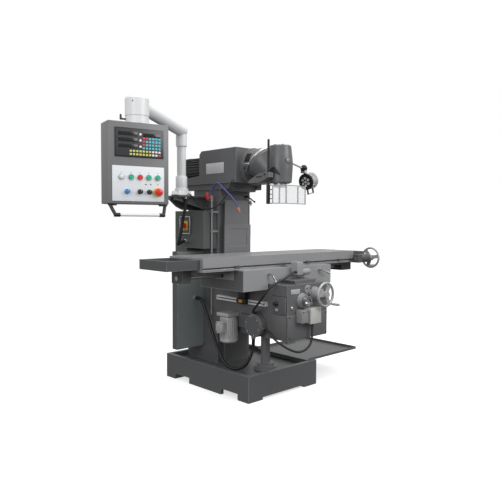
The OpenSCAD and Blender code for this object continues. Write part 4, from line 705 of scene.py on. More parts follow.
disc_way = np.array((0, -1, 1)) / math.sqrt(2)
nut_circle, nut_level = 0.114, 0.022
nuts = []
for a in np.radians((35, 145, 215, 325)):
    out = math.cos(a) * np.array(RIGHT) + math.sin(a) * disc_way
    nuts.append(nut(TILT + nut_circle * out + tilt_axis * nut_level, tilt_axis, 0.011, 0.010))
put("swivel_nuts", joined(*nuts), bolt_and_painted_shade_black, "head")
barrel_low, barrel_top, cap_top = 1.5515, 1.8125, 1.8175
swell_z = np.array((barrel_low, 1.605, 1.649, 1.693, 1.737, 1.781, 1.800, barrel_top))
swell_r = np.array((0.0845, 0.0880, 0.0910, 0.0920, 0.0880, 0.0825, 0.0808, 0.0795))
level = np.concatenate([np.linspace(barrel_low, 1.8, 40), [barrel_top]])
belly = np.interp(level, swell_z, swell_r)
belly[1:-2] = (belly[:-3] + 2 * belly[1:-2] + belly[2:-1]) / 4
skin_foot = [(0.070, barrel_low - 0.002), (0.0825, barrel_low - 0.002)]
skin_top = [(0.0770, 1.8160), (0.0730, cap_top), (0, cap_top)]
barrel, barrel_faces = turned([*skin_foot, *zip(belly, level), *skin_top], (0, SPINDLE_Y, 0), UP, 96)
past_joint = np.clip(0.001 - (barrel - TILT) @ tilt_axis, 0, None)
barrel += past_joint[:, None] * tilt_axis
put("head_skin", (barrel, barrel_faces), head_grey, "head", 30)
plug_r, seam_r = 0.0205, 0.0230
plug_way = np.array((-0.16, -0.987, 0))
plug_at = np.array((0, SPINDLE_Y, 1.703)) + plug_way * 0.0880
plug_shape = [(0, 0), (plug_r, 0), (plug_r, 0.0046), (0.0185, 0.0060), (0, 0.0060)]
seam_shape = [(plug_r, 0), (seam_r, 0), (seam_r, 0.0042), (plug_r, 0.0042), (plug_r, 0)]
put("head_plug", turned(plug_shape, plug_at, plug_way), light_grey, "head")
put("head_plug_seam", turned(seam_shape, plug_at, plug_way), black_marks_and_painted_shade, "head")
# Painted shade: a black sheet lies just over the barrel's skin where the hollow is, standing in for its
# shade.
bay_rows, bay_columns = 8, 30
bay_turn = np.linspace(159, 226, bay_columns)
bay_top = np.interp(bay_turn, (159, 195, 212, 226), (1.638, 1.661, 1.631, 1.595))
bay_foot = np.interp(bay_turn, (159, 175, 195, 226), (1.638, 1.622, 1.610, 1.595))
bay_z = bay_foot + np.linspace(0, 1, bay_rows)[:, None] * (bay_top - bay_foot)
bay_r = np.interp(bay_z, swell_z, swell_r) + 0.0007
bay_a = np.radians(np.broadcast_to(bay_turn, bay_z.shape))
bay = np.stack([bay_r * np.cos(bay_a), bay_r * np.sin(bay_a) + SPINDLE_Y, bay_z], -1)
put("head_bay_painted_shade", (bay, grid_faces(bay_rows, bay_columns, False, False)), black_marks_and_painted_shade, "head")
# Painted shade: the lug's slot is a thin black strip on its face, in the same black as the bolts.
lug_slot_painted_shade = slab((-0.1492, -0.379, 1.583), (-0.1476, -0.322, 1.591), 0.0006, 1)
lug_shape = [(0, 0), (0.006, 0), (0.006, 0.003), (0.003, 0.004), (0, 0.004)]
lug_bolt = turned(lug_shape, (-0.1480, -0.411, 1.602), LEFT, 16)
put("lug_bolt_and_slot_shade", joined(lug_slot_painted_shade, lug_bolt), bolt_and_painted_shade_black, "head")
cap_r = 0.058
cap_places = [(cap_r * math.cos(a), SPINDLE_Y + cap_r * math.sin(a), cap_top - 0.0001) for a in sixths]
put("head_cap_screws", screw_heads(cap_places, UP, 0.007, 0.005), bolt_and_painted_shade_black, "head")

# Spindle and guard rod: the spindle is ground steel that runs in steel bearings inside the head.
# The guard's rod is blacked steel, clamped in the head's lug.
spindle_steel = finish("spindle_steel", (0.30, 0.30, 0.31), 0.34, metal=0.8, tone=0.06, skin=0.04)
dress(spindle_steel, "spindle", "spindle_bearings")
rod_black = finish("rod_black", (0.018, 0.018, 0.019), 0.30, metal=0.5, skin=0.02)
dress(rod_black, "guard_rod")

# Spindle guard: a black ladder hinge that swings on the rod, slim pale alloy frames with a post at each
# bend, and clear plastic screens set between the posts.
clear_sheet = bpy.data.materials.new("clear_sheet")
clear_sheet.use_nodes = True
clear_nodes = clear_sheet.node_tree.nodes
clear_link = clear_sheet.node_tree.links.new
clear_shader = clear_nodes["Principled BSDF"]
set_inputs(clear_shader, {"Base Color": (0.86, 0.88, 0.90, 1), "Alpha": 0.30, "Roughness": 0.12})
clear_noise = clear_nodes.new("ShaderNodeTexNoise")
set_inputs(clear_noise, {"Scale": 30})
clear_bump = clear_nodes.new("ShaderNodeBump")
set_inputs(clear_bump, {"Strength": 0.03})
clear_place = clear_nodes.new("ShaderNodeTexCoord")
clear_link(clear_place.outputs["Object"], clear_noise.inputs["Vector"])
clear_link(clear_noise.outputs["Fac"], clear_bump.inputs["Height"])
clear_link(clear_bump.outputs["Normal"], clear_shader.inputs["Normal"])
guard_grey = finish("guard_frame_grey", (0.40, 0.40, 0.41), 0.40, metal=0.3, tone=0.06, skin=0.03)
rod_x, rod_y = -0.132, -0.433
guard_low, guard_h = 1.392, 0.135
rail_r = 0.003
hinge_in, hinge_out = 0.0082, 0.014
rail_levels = (guard_low + rail_r, guard_low + guard_h - rail_r)
bends = np.array([(rod_x, -0.477), (-0.106, -0.519), (-0.064, -0.545), (0.060, -0.545), (0.164, -0.525)])
hinge_shape = [(hinge_in, 0), (hinge_out, 0), (hinge_out, guard_h), (hinge_in, guard_h), (hinge_in, 0)]
hinge = [turned(hinge_shape, (rod_x, rod_y, guard_low))]
for z in np.linspace(*rail_levels, 5):
    hinge.append(slab((rod_x - 0.003, -0.477, z - 0.003), (rod_x + 0.003, -0.443, z + 0.003), 0.001))
ladder = put("guard_ladder", joined(*hinge), rod_black, "guard")
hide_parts("spindle_guard")
rails = [rod(0.005, guard_h, (*bend, guard_low), sides=14) for bend in bends]
panes = []
for a, b in zip(bends[:-1], bends[1:]):
    run = (b - a) / np.linalg.norm(b - a)
    thick = np.array((-run[1], run[0])) * 0.001
    for z in rail_levels:
        rails.append(sleeve([(*a, z), (*((a + b) / 2), z), (*b, z)], rail_r, 8))
    p, q = a + run * 0.004, b - run * 0.004
    pane_line = [p - thick, q - thick, q + thick, p + thick]
    panes.append(prism(pane_line, 2, guard_low + 0.004, guard_low + guard_h - 0.004))
put("guard_rails", joined(*rails), guard_grey, "guard")
put("guard_panes", joined(*panes), clear_sheet, "guard", 20)

# Work lamp: a finned cast-aluminium can on a jointed arm, with a black ball joint and a handle behind.
# Its black face lies in a plastic rim and holds seven clear diodes.
alloy = finish("cast_alloy", (0.58, 0.58, 0.59), 0.38, metal=0.6, tone=0.08, grain=200, skin=0.06)
lens_black = finish("lamp_face_black", (0.014, 0.014, 0.015), 0.22, tone=0.08, skin=0.02)
diode_glow = finish("diode_lens", (0.70, 0.72, 0.74), 0.15, tone=0.03, skin=0.02, coat=0.5)
dress(alloy, "lamp_arm", "lamp_body")
dress(lens_black, "lamp_lens")
lamp_axes = np.array(
    Matrix.Translation((0.266, -0.440, 1.568))
    @ Matrix.Rotation(math.radians(78), 4, "Y")
    @ Matrix.Rotation(math.radians(-6), 4, "X")
)


def in_lamp(shape):
    """A shape made about the lamp's own axis, moved to the lamp."""
    verts, faces = shape
    return np.asarray(verts) @ lamp_axes[:3, :3].T + lamp_axes[:3, 3], faces


diode_circle = 0.028
diode_places = [(0, 0)] + [(diode_circle * math.cos(a), diode_circle * math.sin(a)) for a in sixths]
diode_shape = [
    (0, 0.0014), (0.0042, 0.0014), (0.0080, -0.0014), (0.0100, -0.0014), (0.0100, 0.003), (0, 0.003),
]
diodes = [turned(diode_shape, (x, y, 0), sides=18) for x, y in diode_places]
put("lamp_diodes", in_lamp(joined(*diodes)), diode_glow, "lamp")
bezel_shape = [
    (0.0470, 0.001), (0.0500, -0.002), (0.0600, -0.002), (0.0630, 0.001), (0.0630, 0.013), (0.0535, 0.013),
    (0.0535, 0.0022), (0.0470, 0.0022), (0.0470, 0.001),
]
put("lamp_bezel", in_lamp(turned(bezel_shape, (0, 0, 0), sides=64)), lens_black, "lamp")
lamp_fin = slab((0.0530, -0.0036, 0.0125), (0.0622, 0.0036, 0.0860), 0.0012, 1)
lamp_fins = [turned_about(lamp_fin, np.zeros(3), "Z", a) for a in np.arange(24) * math.tau / 24]
put("lamp_fins", in_lamp(joined(*lamp_fins)), alloy, "lamp")
lamp_legs = [sleeve([(0.052, 0, z), (0.075, 0, z), (0.100, 0, z)], 0.0065, 12) for z in (0.014, 0.084)]
put("lamp_handle", in_lamp(joined(*lamp_legs)), lens_black, "lamp")
put("lamp_handle_bar", in_lamp(rod(0.0042, 0.086, (0.096, 0, 0.006))), alloy, "lamp")
ball_r, ball_turn = 0.0265, np.linspace(0, math.pi, 25)
ball = np.column_stack([ball_r * np.sin(ball_turn), -ball_r * np.cos(ball_turn)])
put("lamp_ball", turned(ball, (0.250, -0.435, 1.670), BACK, 40), bolt_and_painted_shade_black, "lamp")

# Knee: an open-bottomed painted iron box on the column's slideway; a pale sheet guard stands behind it.
# The feed gearbox with its round cover is bolted to its left, and an access cover to its right.
knee_grey = finish("knee_grey_paint", (0.122, 0.123, 0.127), 0.40, skin=0.12, edge=0.40)
way_grey = finish("way_guard_paint", (0.19, 0.192, 0.198), 0.40, tone=0.06, skin=0.06, edge=0.30)
dress(knee_grey, "knee_casting")
dress(machine_grey, "feed_gearbox")
dress(way_grey, "way_guard")
plate, heads = cover((0.2135, -0.560, 0.540), (0.2190, -0.280, 0.700), RIGHT)
put("knee_right_cover", plate, knee_grey, "knee")
put("knee_right_screws", heads, bolt_and_painted_shade_black, "knee")
gear_x, gear_y, gear_z, gear_r = -0.2869, -0.438, 0.530, 0.066
gear_places = [(gear_x, gear_y + gear_r * math.cos(a), gear_z + gear_r * math.sin(a)) for a in sixths + 0.3]
put("gearbox_screws", screw_heads(gear_places, LEFT, 0.006, 0.004), bright_steel, "knee")

# Feed motor: a finned alloy case bolted up under its square flange on the knee's left.
# A fan cover closes it below, and a terminal box with a screwed lid sits on its left.
MOTOR = np.array((-0.293, -0.195, 0.377))
motor_r, fin_count = 0.0655, 26
motor_shape = [
    (0, 0), (0.046, 0), (0.060, 0.006), (motor_r, 0.014), (motor_r, 0.034), (0.057, 0.036), (0.057, 0.176),
    (motor_r, 0.178), (motor_r, 0.190), (0.056, 0.196), (0, 0.196),
]
fin = slab(MOTOR + (0.055, -0.0018, 0.034), MOTOR + (motor_r, 0.0018, 0.180), 0.0008, 1)
fins = [turned_about(fin, MOTOR, "Z", a) for a in np.arange(fin_count) * math.tau / fin_count]
motor_flange = slab((-0.357, -0.259, 0.573), (-0.215, -0.131, 0.599), 0.003)
motor_box = slab((-0.385, -0.229, 0.457), (-0.345, -0.161, 0.537), 0.003)
motor_lid = slab((-0.389, -0.231, 0.455), (-0.3855, -0.159, 0.539), 0.0015)
motor_shapes = joined(turned(motor_shape, MOTOR, UP, 56), *fins, motor_flange, motor_box, motor_lid)
feed_motor_case = put("feed_motor_case", motor_shapes, alloy, "knee", 30)
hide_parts("feed_motor")
lid_places = [(-0.3889, y, z) for y in (-0.222, -0.168) for z in (0.464, 0.530)]
put("feed_motor_screws", screw_heads(lid_places, LEFT, 0.004, 0.003), bolt_and_painted_shade_black, "knee")

# Elevating gear: a pale painted pillar that stands on the base, with the steel screw running in it.
# The steel shaft with its clutch comes out of the knee's front.
dress(way_grey, "elevating_pillar")
dress(bright_steel, "elevating_screw", "elevating_shaft")

# Knee front fittings: pale cast bearings for the cross feed and the clutch, and a cap with three bolts.
# A folded cover below wraps round to the left, with a bare label, an oil plug and a sealed side panel.
light_cast = finish("light_cast_paint", (0.30, 0.302, 0.308), 0.38, tone=0.08, skin=0.08, edge=0.30)
KNEE_FRONT = -0.700
cross_x, cross_z = 0.070, 0.757
clutch_x, clutch_z = -0.060, 0.718
cap_x, cap_z = -0.002, 0.788
housing_shape = [
    (0, 0), (0.050, 0), (0.050, 0.006), (0.043, 0.008), (0.042, 0.058), (0.040, 0.062), (0.0152, 0.062),
    (0.0152, 0.02), (0, 0.02),
]
seat_shape = [
    (0, 0), (0.052, 0), (0.052, 0.005), (0.046, 0.007), (0.046, 0.024), (0.0142, 0.024), (0.0142, 0.01),
    (0, 0.01),
]
cap_shape = [(0, 0), (0.033, 0), (0.033, 0.008), (0.031, 0.010), (0, 0.010)]
housing = turned(housing_shape, (cross_x, KNEE_FRONT, cross_z), FRONT, 64)
clutch_seat = turned(seat_shape, (clutch_x, KNEE_FRONT, clutch_z), FRONT, 64)
cap = turned(cap_shape, (cap_x, KNEE_FRONT, cap_z), FRONT)
fittings = put("knee_front_castings", joined(housing, clutch_seat, cap), light_cast, "knee")
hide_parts("knee_fittings")
cap_bolts = [
    (cap_x + 0.022 * math.cos(a), KNEE_FRONT - 0.0099, cap_z + 0.022 * math.sin(a)) for a in (0.5, 2.6, 4.7)
]
put("cap_screws", screw_heads(cap_bolts, FRONT, 0.005, 0.004), bolt_and_painted_shade_black, "knee")
oil_shape = [(0, 0), (0.013, 0), (0.013, 0.004), (0.010, 0.006), (0.004, 0.006), (0.004, 0.003), (0, 0.003)]
put("oil_plug", turned(oil_shape, (-0.164, KNEE_FRONT, 0.670), FRONT), bright_steel, "knee")
cover_x, cover_front, cover_low, cover_top = -0.2205, KNEE_FRONT - 0.008, 0.455, 0.622
front_sheet = slab((cover_x, cover_front, cover_low), (0.207, KNEE_FRONT, cover_top), 0.002)
side_sheet = slab((cover_x, cover_front, cover_low), (-0.2140, KNEE_FRONT + 0.130, cover_top), 0.002)
put("knee_cover", joined(front_sheet, side_sheet), knee_grey, "knee")
sheet_places = [(x, cover_front + 0.0001, z) for x in (-0.196, 0.196) for z in (0.468, 0.610)]
put("knee_cover_screws", screw_heads(sheet_places, FRONT, 0.005, 0.003), bolt_and_painted_shade_black, "knee")
label = slab((-0.176, KNEE_FRONT - 0.002, 0.768), (-0.084, KNEE_FRONT + 0.0005, 0.800), 0.0008)
put("knee_label", label, plate_white, "knee")
seal = slab((-0.2175, KNEE_FRONT + 0.003, 0.627), (-0.2147, KNEE_FRONT + 0.134, 0.754), 0.0005, 1)
put("side_panel_seal", seal, black_plastic, "knee")
side_panel = slab((-0.223, KNEE_FRONT + 0.006, 0.630), (-0.2148, KNEE_FRONT + 0.130, 0.750), 0.002)
put("knee_side_panel", side_panel, machine_grey, "knee")
side_label = slab((-0.2236, KNEE_FRONT + 0.076, 0.650), (-0.2225, KNEE_FRONT + 0.104, 0.666), 0.0004)
put("side_label", side_label, plate_white, "knee")
knob_shape = [
    (0, 0), (0.016, 0), (0.0165, 0.003), (0.0145, 0.006), (0.014, 0.022), (0.012, 0.026), (0, 0.026),
]
side_knob = turned(knob_shape, (-0.223, KNEE_FRONT + 0.090, 0.700), LEFT, 32)
put("side_knob", side_knob, black_plastic, "knee")

# Measuring scale: an extruded, brushed aluminium case on the knee's left side, screwed at both ends.
# The slot along it is where the reader on the saddle runs; a thin black strip lines it as painted shade.
scale_alloy = finish(
    "scale_alloy", (0.78, 0.78, 0.79), 0.34, metal=0.2, tone=0.05, grain=240, skin=0.03, stretch=(3, 0.1, 3)
)
scale_in, scale_out, slot_x = -0.215, -0.241, -0.233
scale_line = [
    (scale_in, 0.670), (scale_out, 0.670), (scale_out, 0.682), (slot_x, 0.682), (slot_x, 0.690),
    (scale_out, 0.690), (scale_out, 0.702), (scale_in, 0.702),
]
put("scale_case", prism(scale_line, 1, -0.520, 0.010), scale_alloy, "knee", 20)
scale_places = [(scale_out + 0.002, y, z) for y in (-0.508, -0.002) for z in (0.676, 0.696)]
put("scale_screws", screw_heads(scale_places, LEFT, 0.004, 0.0026), bolt_and_painted_shade_black, "knee")
# Painted shade: a thin black strip lines the slot.
slot_shade = slab((-0.2345, -0.505, 0.6822), (-0.2325, -0.005, 0.6898), 0.0004)
put("scale_slot_shade", slot_shade, black_marks_and_painted_shade, "knee")

# Switch box and terminal box: two boxes on the knee's front. One is painted grey with two screws, the
# other is cream plastic with a lid and a black gland for its conduit.
cream = finish("cream_plastic", (0.52, 0.52, 0.50), 0.40, tone=0.05, grain=320, skin=0.06)
box_grey = finish("switch_box_grey", (0.25, 0.252, 0.255), 0.40, tone=0.08, skin=0.08, edge=0.2)
terminal_body = slab((-0.044, KNEE_FRONT - 0.058, 0.558), (0.064, KNEE_FRONT, 0.664), 0.003)
terminal_lid = slab((-0.046, KNEE_FRONT - 0.072, 0.556), (0.066, KNEE_FRONT - 0.0585, 0.666), 0.004)
boxes = put("terminal_box", joined(terminal_body, terminal_lid), cream, "knee")
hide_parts("junction_boxes")
switch_box = slab((-0.124, KNEE_FRONT - 0.060, 0.568), (-0.056, KNEE_FRONT, 0.658), 0.004)
put("switch_box", switch_box, box_grey, "knee")
box_places = [(x, KNEE_FRONT - 0.0599, 0.645) for x in (-0.112, -0.068)]
put("switch_box_screws", screw_heads(box_places, FRONT, 0.005, 0.003), bolt_and_painted_shade_black, "knee")
box_gland = gland(0.0125, 0.0135, (0.010, -0.736, 0.5585), DOWN, 24)
put("terminal_gland", box_gland, black_plastic, "knee")

# Handwheels and dials: matt cast-alloy wheels on the cross feed and the table's screw.
# Three turned dials carry sixty engraved lines each, filled with black.
wheel_alloy = finish("wheel_alloy", (0.44, 0.442, 0.45), 0.40, metal=0.35, tone=0.08, grain=240, skin=0.06)
dress(wheel_alloy, "y_handwheel", "x_handwheel")
for name, at, axis, r, body in (
    ("y_dial_marks", (cross_x, KNEE_FRONT - 0.0845, cross_z), BACK, 0.038, "y_wheel"),
    ("z_dial_marks", (clutch_x, KNEE_FRONT - 0.040, clutch_z), BACK, 0.036, "z_shaft"),
    ("x_dial_marks", (1.012, -0.507, 0.963), LEFT, 0.033, "x_wheel"),
):
    put(name, marks(at, axis, r, 0.012, 60, 0.0004), black_marks_and_painted_shade, body)

# Saddle: a painted cross slide with aprons on the knee's dovetail, clamped by two steel levers.
# A cast limit switch is bolted to its front, and the scale's black reader hangs on its left.
saddle_grey = finish("saddle_grey_paint", (0.30, 0.302, 0.308), 0.38, tone=0.07, skin=0.08, edge=0.35)
dress(saddle_grey, "saddle_casting")
dress(bright_steel, "saddle_lock_left", "saddle_lock_right")
dress(brass, "feed_nuts")
# Painted shade: a U-shaped plate in the darker base paint covers the saddle's left end, standing in for the
# shade of the recess there.
apron_near, apron_far, notch_near, notch_far = -0.533, -0.077, -0.440, -0.170
apron_low, apron_top, notch_low = 0.794, 0.933, 0.865
end_line = [
    (apron_near, apron_low), (apron_far, apron_low), (apron_far, apron_top), (notch_far, apron_top),
    (notch_far, notch_low), (notch_near, notch_low), (notch_near, apron_top), (apron_near, apron_top),
]
put("saddle_end_painted_shade", prism(end_line, 0, -0.4662, -0.4648), machine_grey, "saddle", 30)
SADDLE_FRONT = -0.535
switch_case = slab((0, SADDLE_FRONT - 0.070, 0.8817), (0.060, SADDLE_FRONT, 0.9757), 0.004)
barrel_shape = [(0, 0), (0.022, 0), (0.024, 0.003), (0.024, 0.094), (0.021, 0.100), (0, 0.100)]
switch_barrel = turned(barrel_shape, (0.060, SADDLE_FRONT - 0.034, 0.8997), RIGHT, 32)
limit = put("limit_switch_body", joined(switch_case, switch_barrel), light_cast, "saddle")
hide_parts("limit_switch")
reader_arm = slab((-0.267, -0.335, 0.706), (-0.235, -0.265, 0.793), 0.003)
reader_head = slab((-0.277, -0.345, 0.670), (-0.242, -0.255, 0.708), 0.004)
put("scale_reader", joined(reader_arm, reader_head), black_plastic, "saddle")
tag_orange = finish("tag_orange", (0.60, 0.30, 0.04), 0.45, tone=0.05, skin=0.03)
reader_tag = slab((-0.2785, -0.318, 0.680), (-0.2765, -0.282, 0.702), 0.0006)
put("reader_tag", reader_tag, tag_orange, "saddle")

# Table: ground cast iron with three T-slots on top and a stop slot over a bright rail along its front; the
# stop slot is a black strip of painted shade.
# Its end troughs, brackets and bearing are painted castings, and its screw is steel.
table_iron = finish(
    "ground_table_iron", (0.40, 0.402, 0.410), 0.34, metal=0.55, tone=0.08, grain=90, skin=0.05,
    stretch=(0.05, 3, 3), edge=0.2,
)
trough_grey = finish("trough_grey_paint", (0.078, 0.080, 0.083), 0.38, tone=0.08, skin=0.08, edge=0.35)
dial_steel = finish("dial_steel", (0.55, 0.55, 0.56), 0.28, metal=1.0, tone=0.05, grain=300, skin=0.03)
dress(table_iron, "table")
dress(trough_grey, "table_fittings")
dress(dial_steel, "x_leadscrew")
rail_left, rail_right, rail_back = -0.769, 0.827, -0.4846
# Painted shade: the stop slot is a thin black strip on the table's front, standing in for the shade in the
# slot.
stop_slot_painted_shade = slab((rail_left, -0.4858, 0.9535), (rail_right, rail_back, 0.9595), 0.0004, 1)
stop_rail = slab((rail_left, -0.4860, 0.9405), (rail_right, rail_back, 0.9520), 0.0005, 1)
put("stop_slot_painted_shade", stop_slot_painted_shade, black_marks_and_painted_shade, "work_table")
put("stop_rail", stop_rail, bright_steel, "work_table")

# Pendant case: a folded sheet box with round edges and a screwed back cover, painted grey.
# It hangs from the arm's bell by a white bell of its own, which a black lever locks.
case_grey = finish("case_grey_paint", (0.185, 0.187, 0.190), 0.40, tone=0.05, grain=300, edge=0.30)
arm_turn, arm_reach, case_turn = math.radians(204.3), 0.603, math.radians(-13)
BELL = np.array((*(POST + (arm_reach * math.cos(arm_turn), arm_reach * math.sin(arm_turn))), 0))
CASE_X, CASE_FRONT, CASE_HALF, CASE_FOOT, CASE_TOP = -0.015, -0.079, 0.207, 1.375, 1.905
CASE_BACK = -CASE_FRONT


def on_case(shape):
    """A shape in the case's own frame, X across its front and Y into it, moved to the case."""
    verts, faces = shape
    spin = np.array(Matrix.Rotation(case_turn, 3, "Z"))
    return np.asarray(verts, float) @ spin.T + BELL, faces


case_box = slab((CASE_X - CASE_HALF, CASE_FRONT, CASE_FOOT), (CASE_X + CASE_HALF, CASE_BACK, CASE_TOP), 0.006)
case = put("pendant_case", on_case(case_box), case_grey, "pendant")
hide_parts("pendant_box")
back_half = CASE_HALF - 0.035
back_low = (CASE_X - back_half, CASE_BACK - 0.0015, CASE_FOOT + 0.040)
back_high = (CASE_X + back_half, CASE_BACK + 0.0030, CASE_TOP - 0.040)
plate, heads = cover(back_low, back_high, BACK, 0.0012, (0.005, 0.003))
put("case_back_cover", on_case(plate), case_grey, "pendant")
put("case_back_screws", on_case(heads), bolt_and_painted_shade_black, "pendant")
bell_shape = [(0, 0), (0.078, 0), (0.078, 0.050), (0.076, 0.052), (0, 0.052)]
case_bell = turned(bell_shape, (0, 0, CASE_TOP), sides=64)
put("pendant_bell", on_case(case_bell), white_coat, "pendant")
lever_z = CASE_TOP + 0.028
lever_stem = rod(0.006, 0.034, (-0.074, 0, lever_z), LEFT)
lever_shape = [(0, -0.006), (0.006, -0.006), (0.0075, 0), (0.0065, 0.026), (0.004, 0.030), (0, 0.030)]
lever_grip = turned(lever_shape, (-0.112, 0, lever_z), UP, 16)
put("pendant_lock", on_case(joined(lever_stem, lever_grip)), black_plastic, "pendant")

# Readout panel: a black plastic frame let into the case, with number windows behind thin rims.
# Axis keys and a coloured membrane keypad stand on its film; the place for a name is left bare.
bezel_black = finish("bezel_black", (0.018, 0.018, 0.020), 0.32, tone=0.06, grain=400, skin=0.03)
film_grey = finish("film_grey", (0.045, 0.047, 0.052), 0.35, tone=0.05, skin=0.02)
window_black = finish("window_black", (0.012, 0.013, 0.013), 0.14, tone=0.05, skin=0)
window_rim = finish("window_rim", (0.10, 0.105, 0.105), 0.35, tone=0.05, skin=0)


def on_front(x0, z0, x1, z1, proud, sunk, edge, arcs=3):
    """A slab over a rectangle of the case's front: proud is how far it stands out, sunk where it starts."""
    return slab((x0, CASE_FRONT - proud, z0), (x1, CASE_FRONT - sunk, z1), edge, arcs)


panel_frame = on_front(CASE_X - 0.164, 1.678, CASE_X + 0.168, 1.8655, 0.005, 0, 0.002)
panel_film = on_front(CASE_X - 0.157, 1.684, CASE_X + 0.161, 1.859, 0.0058, 0.0045, 0.0005)
readout = put("readout_panel", on_case(panel_frame), bezel_black, "pendant")
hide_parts("pendant_panels")
put("readout_film", on_case(panel_film), film_grey, "pendant")
AXIS_Z = (1.828, 1.788, 1.748)
rim_w = 0.0015
views = [(-0.160, z - 0.0145, -0.0265, z + 0.0145) for z in AXIS_Z] + [(0.0067, 1.810, 0.131, 1.838)]
rims, windows = [], []
for x0, z0, x1, z1 in views:
    windows.append(on_front(x0, z0, x1, z1, 0.0066, 0.0056, 0.0004))
    level_bars = ((x0, z0, x1, z0 + rim_w), (x0, z1 - rim_w, x1, z1))
    upright_bars = ((x0, z0, x0 + rim_w, z1), (x1 - rim_w, z0, x1, z1))
    rims += [on_front(*bar, 0.0071, 0.0060, 0.0003, 1) for bar in level_bars + upright_bars]
put("readout_windows", on_case(joined(*windows)), window_black, "pendant")
put("readout_rims", on_case(joined(*rims)), window_rim, "pendant")
key_white = finish("key_white", (0.84, 0.85, 0.86), 0.40, tone=0.04, skin=0.03)
key_cyan = finish("key_cyan", (0.12, 0.56, 0.68), 0.40, tone=0.05, skin=0.03)
key_yellow = finish("key_yellow", (0.66, 0.66, 0.17), 0.40, tone=0.05, skin=0.03)
key_red = finish("key_red", (0.74, 0.06, 0.08), 0.40, tone=0.05, skin=0.03)
key_w, key_h = 0.015, 0.013
columns = -0.0737 + 0.0219 * np.arange(10)
rows = 1.803 - 0.0213 * np.arange(6)


def key(x, z):
    """A membrane key: a low slab with round edges."""
    return on_front(x - key_w / 2, z - key_h / 2, x + key_w / 2, z + key_h / 2, 0.0078, 0.0055, 0.0011, 2)


red_keys = [(4, 0), (5, 0), (4, 1), (4, 2), (9, 5)]
white_keys = [(7, 4), (8, 4), (9, 4), (7, 5), (8, 5)]
yellow_keys = [(c, r) for c in range(7) for r in (4, 5)]
cyan_keys = [(c, r) for c in range(4, 10) for r in range(4) if (c, r) not in red_keys]
for name, mat, slot, held in (
    ("red", key_red, "red", red_keys),
    ("white", key_white, "panel", white_keys),
    ("yellow", key_yellow, "panel", yellow_keys),
    ("cyan", key_cyan, "panel", cyan_keys),
):
    put("keys_" + name, on_case(joined(*[key(columns[c], rows[r]) for c, r in held])), mat, "pendant")
round_key = [(0, 0), (0.008, 0), (0.008, 0.0016), (0.007, 0.0024), (0, 0.0024)]
axis_keys = [turned(round_key, (-0.0078, CASE_FRONT - 0.0056, z), FRONT, 24) for z in AXIS_Z]
put("axis_keys", on_case(joined(*axis_keys)), key_white, "pendant")

# Control panel: a plate under a pale printed film, flat on the case's front.
# A lamp and push buttons sit in bright collars above, with knobs and a yellow-collared stop below.
film_pale = finish("film_pale", (0.78, 0.805, 0.835), 0.38, tone=0.03, grain=300, skin=0.02)
lamp_white = finish("signal_lamp_white", (0.74, 0.75, 0.75), 0.22, tone=0.03, skin=0.02, coat=0.3)
green_plastic = finish("green_plastic", (0.02, 0.46, 0.27), 0.28, tone=0.06, grain=400, skin=0.02, coat=0.3)
blue_plastic = finish("blue_plastic", (0.02, 0.22, 0.60), 0.30, tone=0.06, grain=400, skin=0.02, coat=0.2)
dress(green_plastic, "power_on_button", "spindle_button", "feed_button")
dress(red_plastic, "power_off_button")
plate_t = 0.005
PLATE = CASE_FRONT - plate_t
control_plate = on_front(CASE_X - 0.181, 1.392, CASE_X + 0.172, 1.620, plate_t, 0, 0.002)
put("control_plate", on_case(control_plate), film_pale, "pendant")
BUTTON_ROW, KNOB_ROW = 1.549, 1.455
button_x = (-0.137, -0.072, -0.012, 0.048, 0.111)
lamp_x = button_x[0]
speed_x, feed_x, mode_x, stop_x = -0.099, -0.012, 0.052, 0.113
collar_in, collar_out = 0.0165, 0.0205
collar_shape = [
    (collar_in, 0), (collar_out, 0), (collar_out, 0.003), (0.0185, 0.0055), (collar_in, 0.0055),
    (collar_in, 0),
]
collars = [turned(collar_shape, (x, PLATE, BUTTON_ROW), FRONT, 40) for x in button_x]
put("button_collars", on_case(joined(*collars)), bright_steel, "pendant")
lamp_shape = [(0, 0), (0.0163, 0), (0.0163, 0.009), (0.0140, 0.0125), (0.008, 0.014), (0, 0.0142)]
signal_lamp = turned(lamp_shape, (lamp_x, PLATE, BUTTON_ROW), FRONT, 40)
put("signal_lamp", on_case(signal_lamp), lamp_white, "pendant")
stop_in = 0.0102
stop_ring = [(stop_in, 0), (0.0300, 0), (0.0300, 0.004), (0.0280, 0.006), (stop_in, 0.006), (stop_in, 0)]
stop_collar = turned(stop_ring, (stop_x, PLATE, KNOB_ROW), FRONT)
put("stop_collar", on_case(stop_collar), yellow_plastic, "pendant")
signal_shape = [(0, 0), (0.003, 0), (0.003, 0.002), (0.0015, 0.0035), (0, 0.0037)]
stop_diode = turned(signal_shape, (0.111, PLATE, 1.505), FRONT, 16)
put("stop_diode", on_case(stop_diode), red_plastic, "pendant")
mushroom_shape = [
    (0, -0.045), (0.010, -0.045), (0.010, -0.001), (0.021, 0), (0.0255, 0.003), (0.026, 0.008),
    (0.0235, 0.0145), (0.016, 0.0175), (0, 0.018),
]
mushroom = turned(mushroom_shape, (stop_x, PLATE - 0.016, KNOB_ROW), FRONT, 56)
stop = put("stop_mushroom", on_case(mushroom), red_plastic, "stop_button")
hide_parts("emergency_stop")


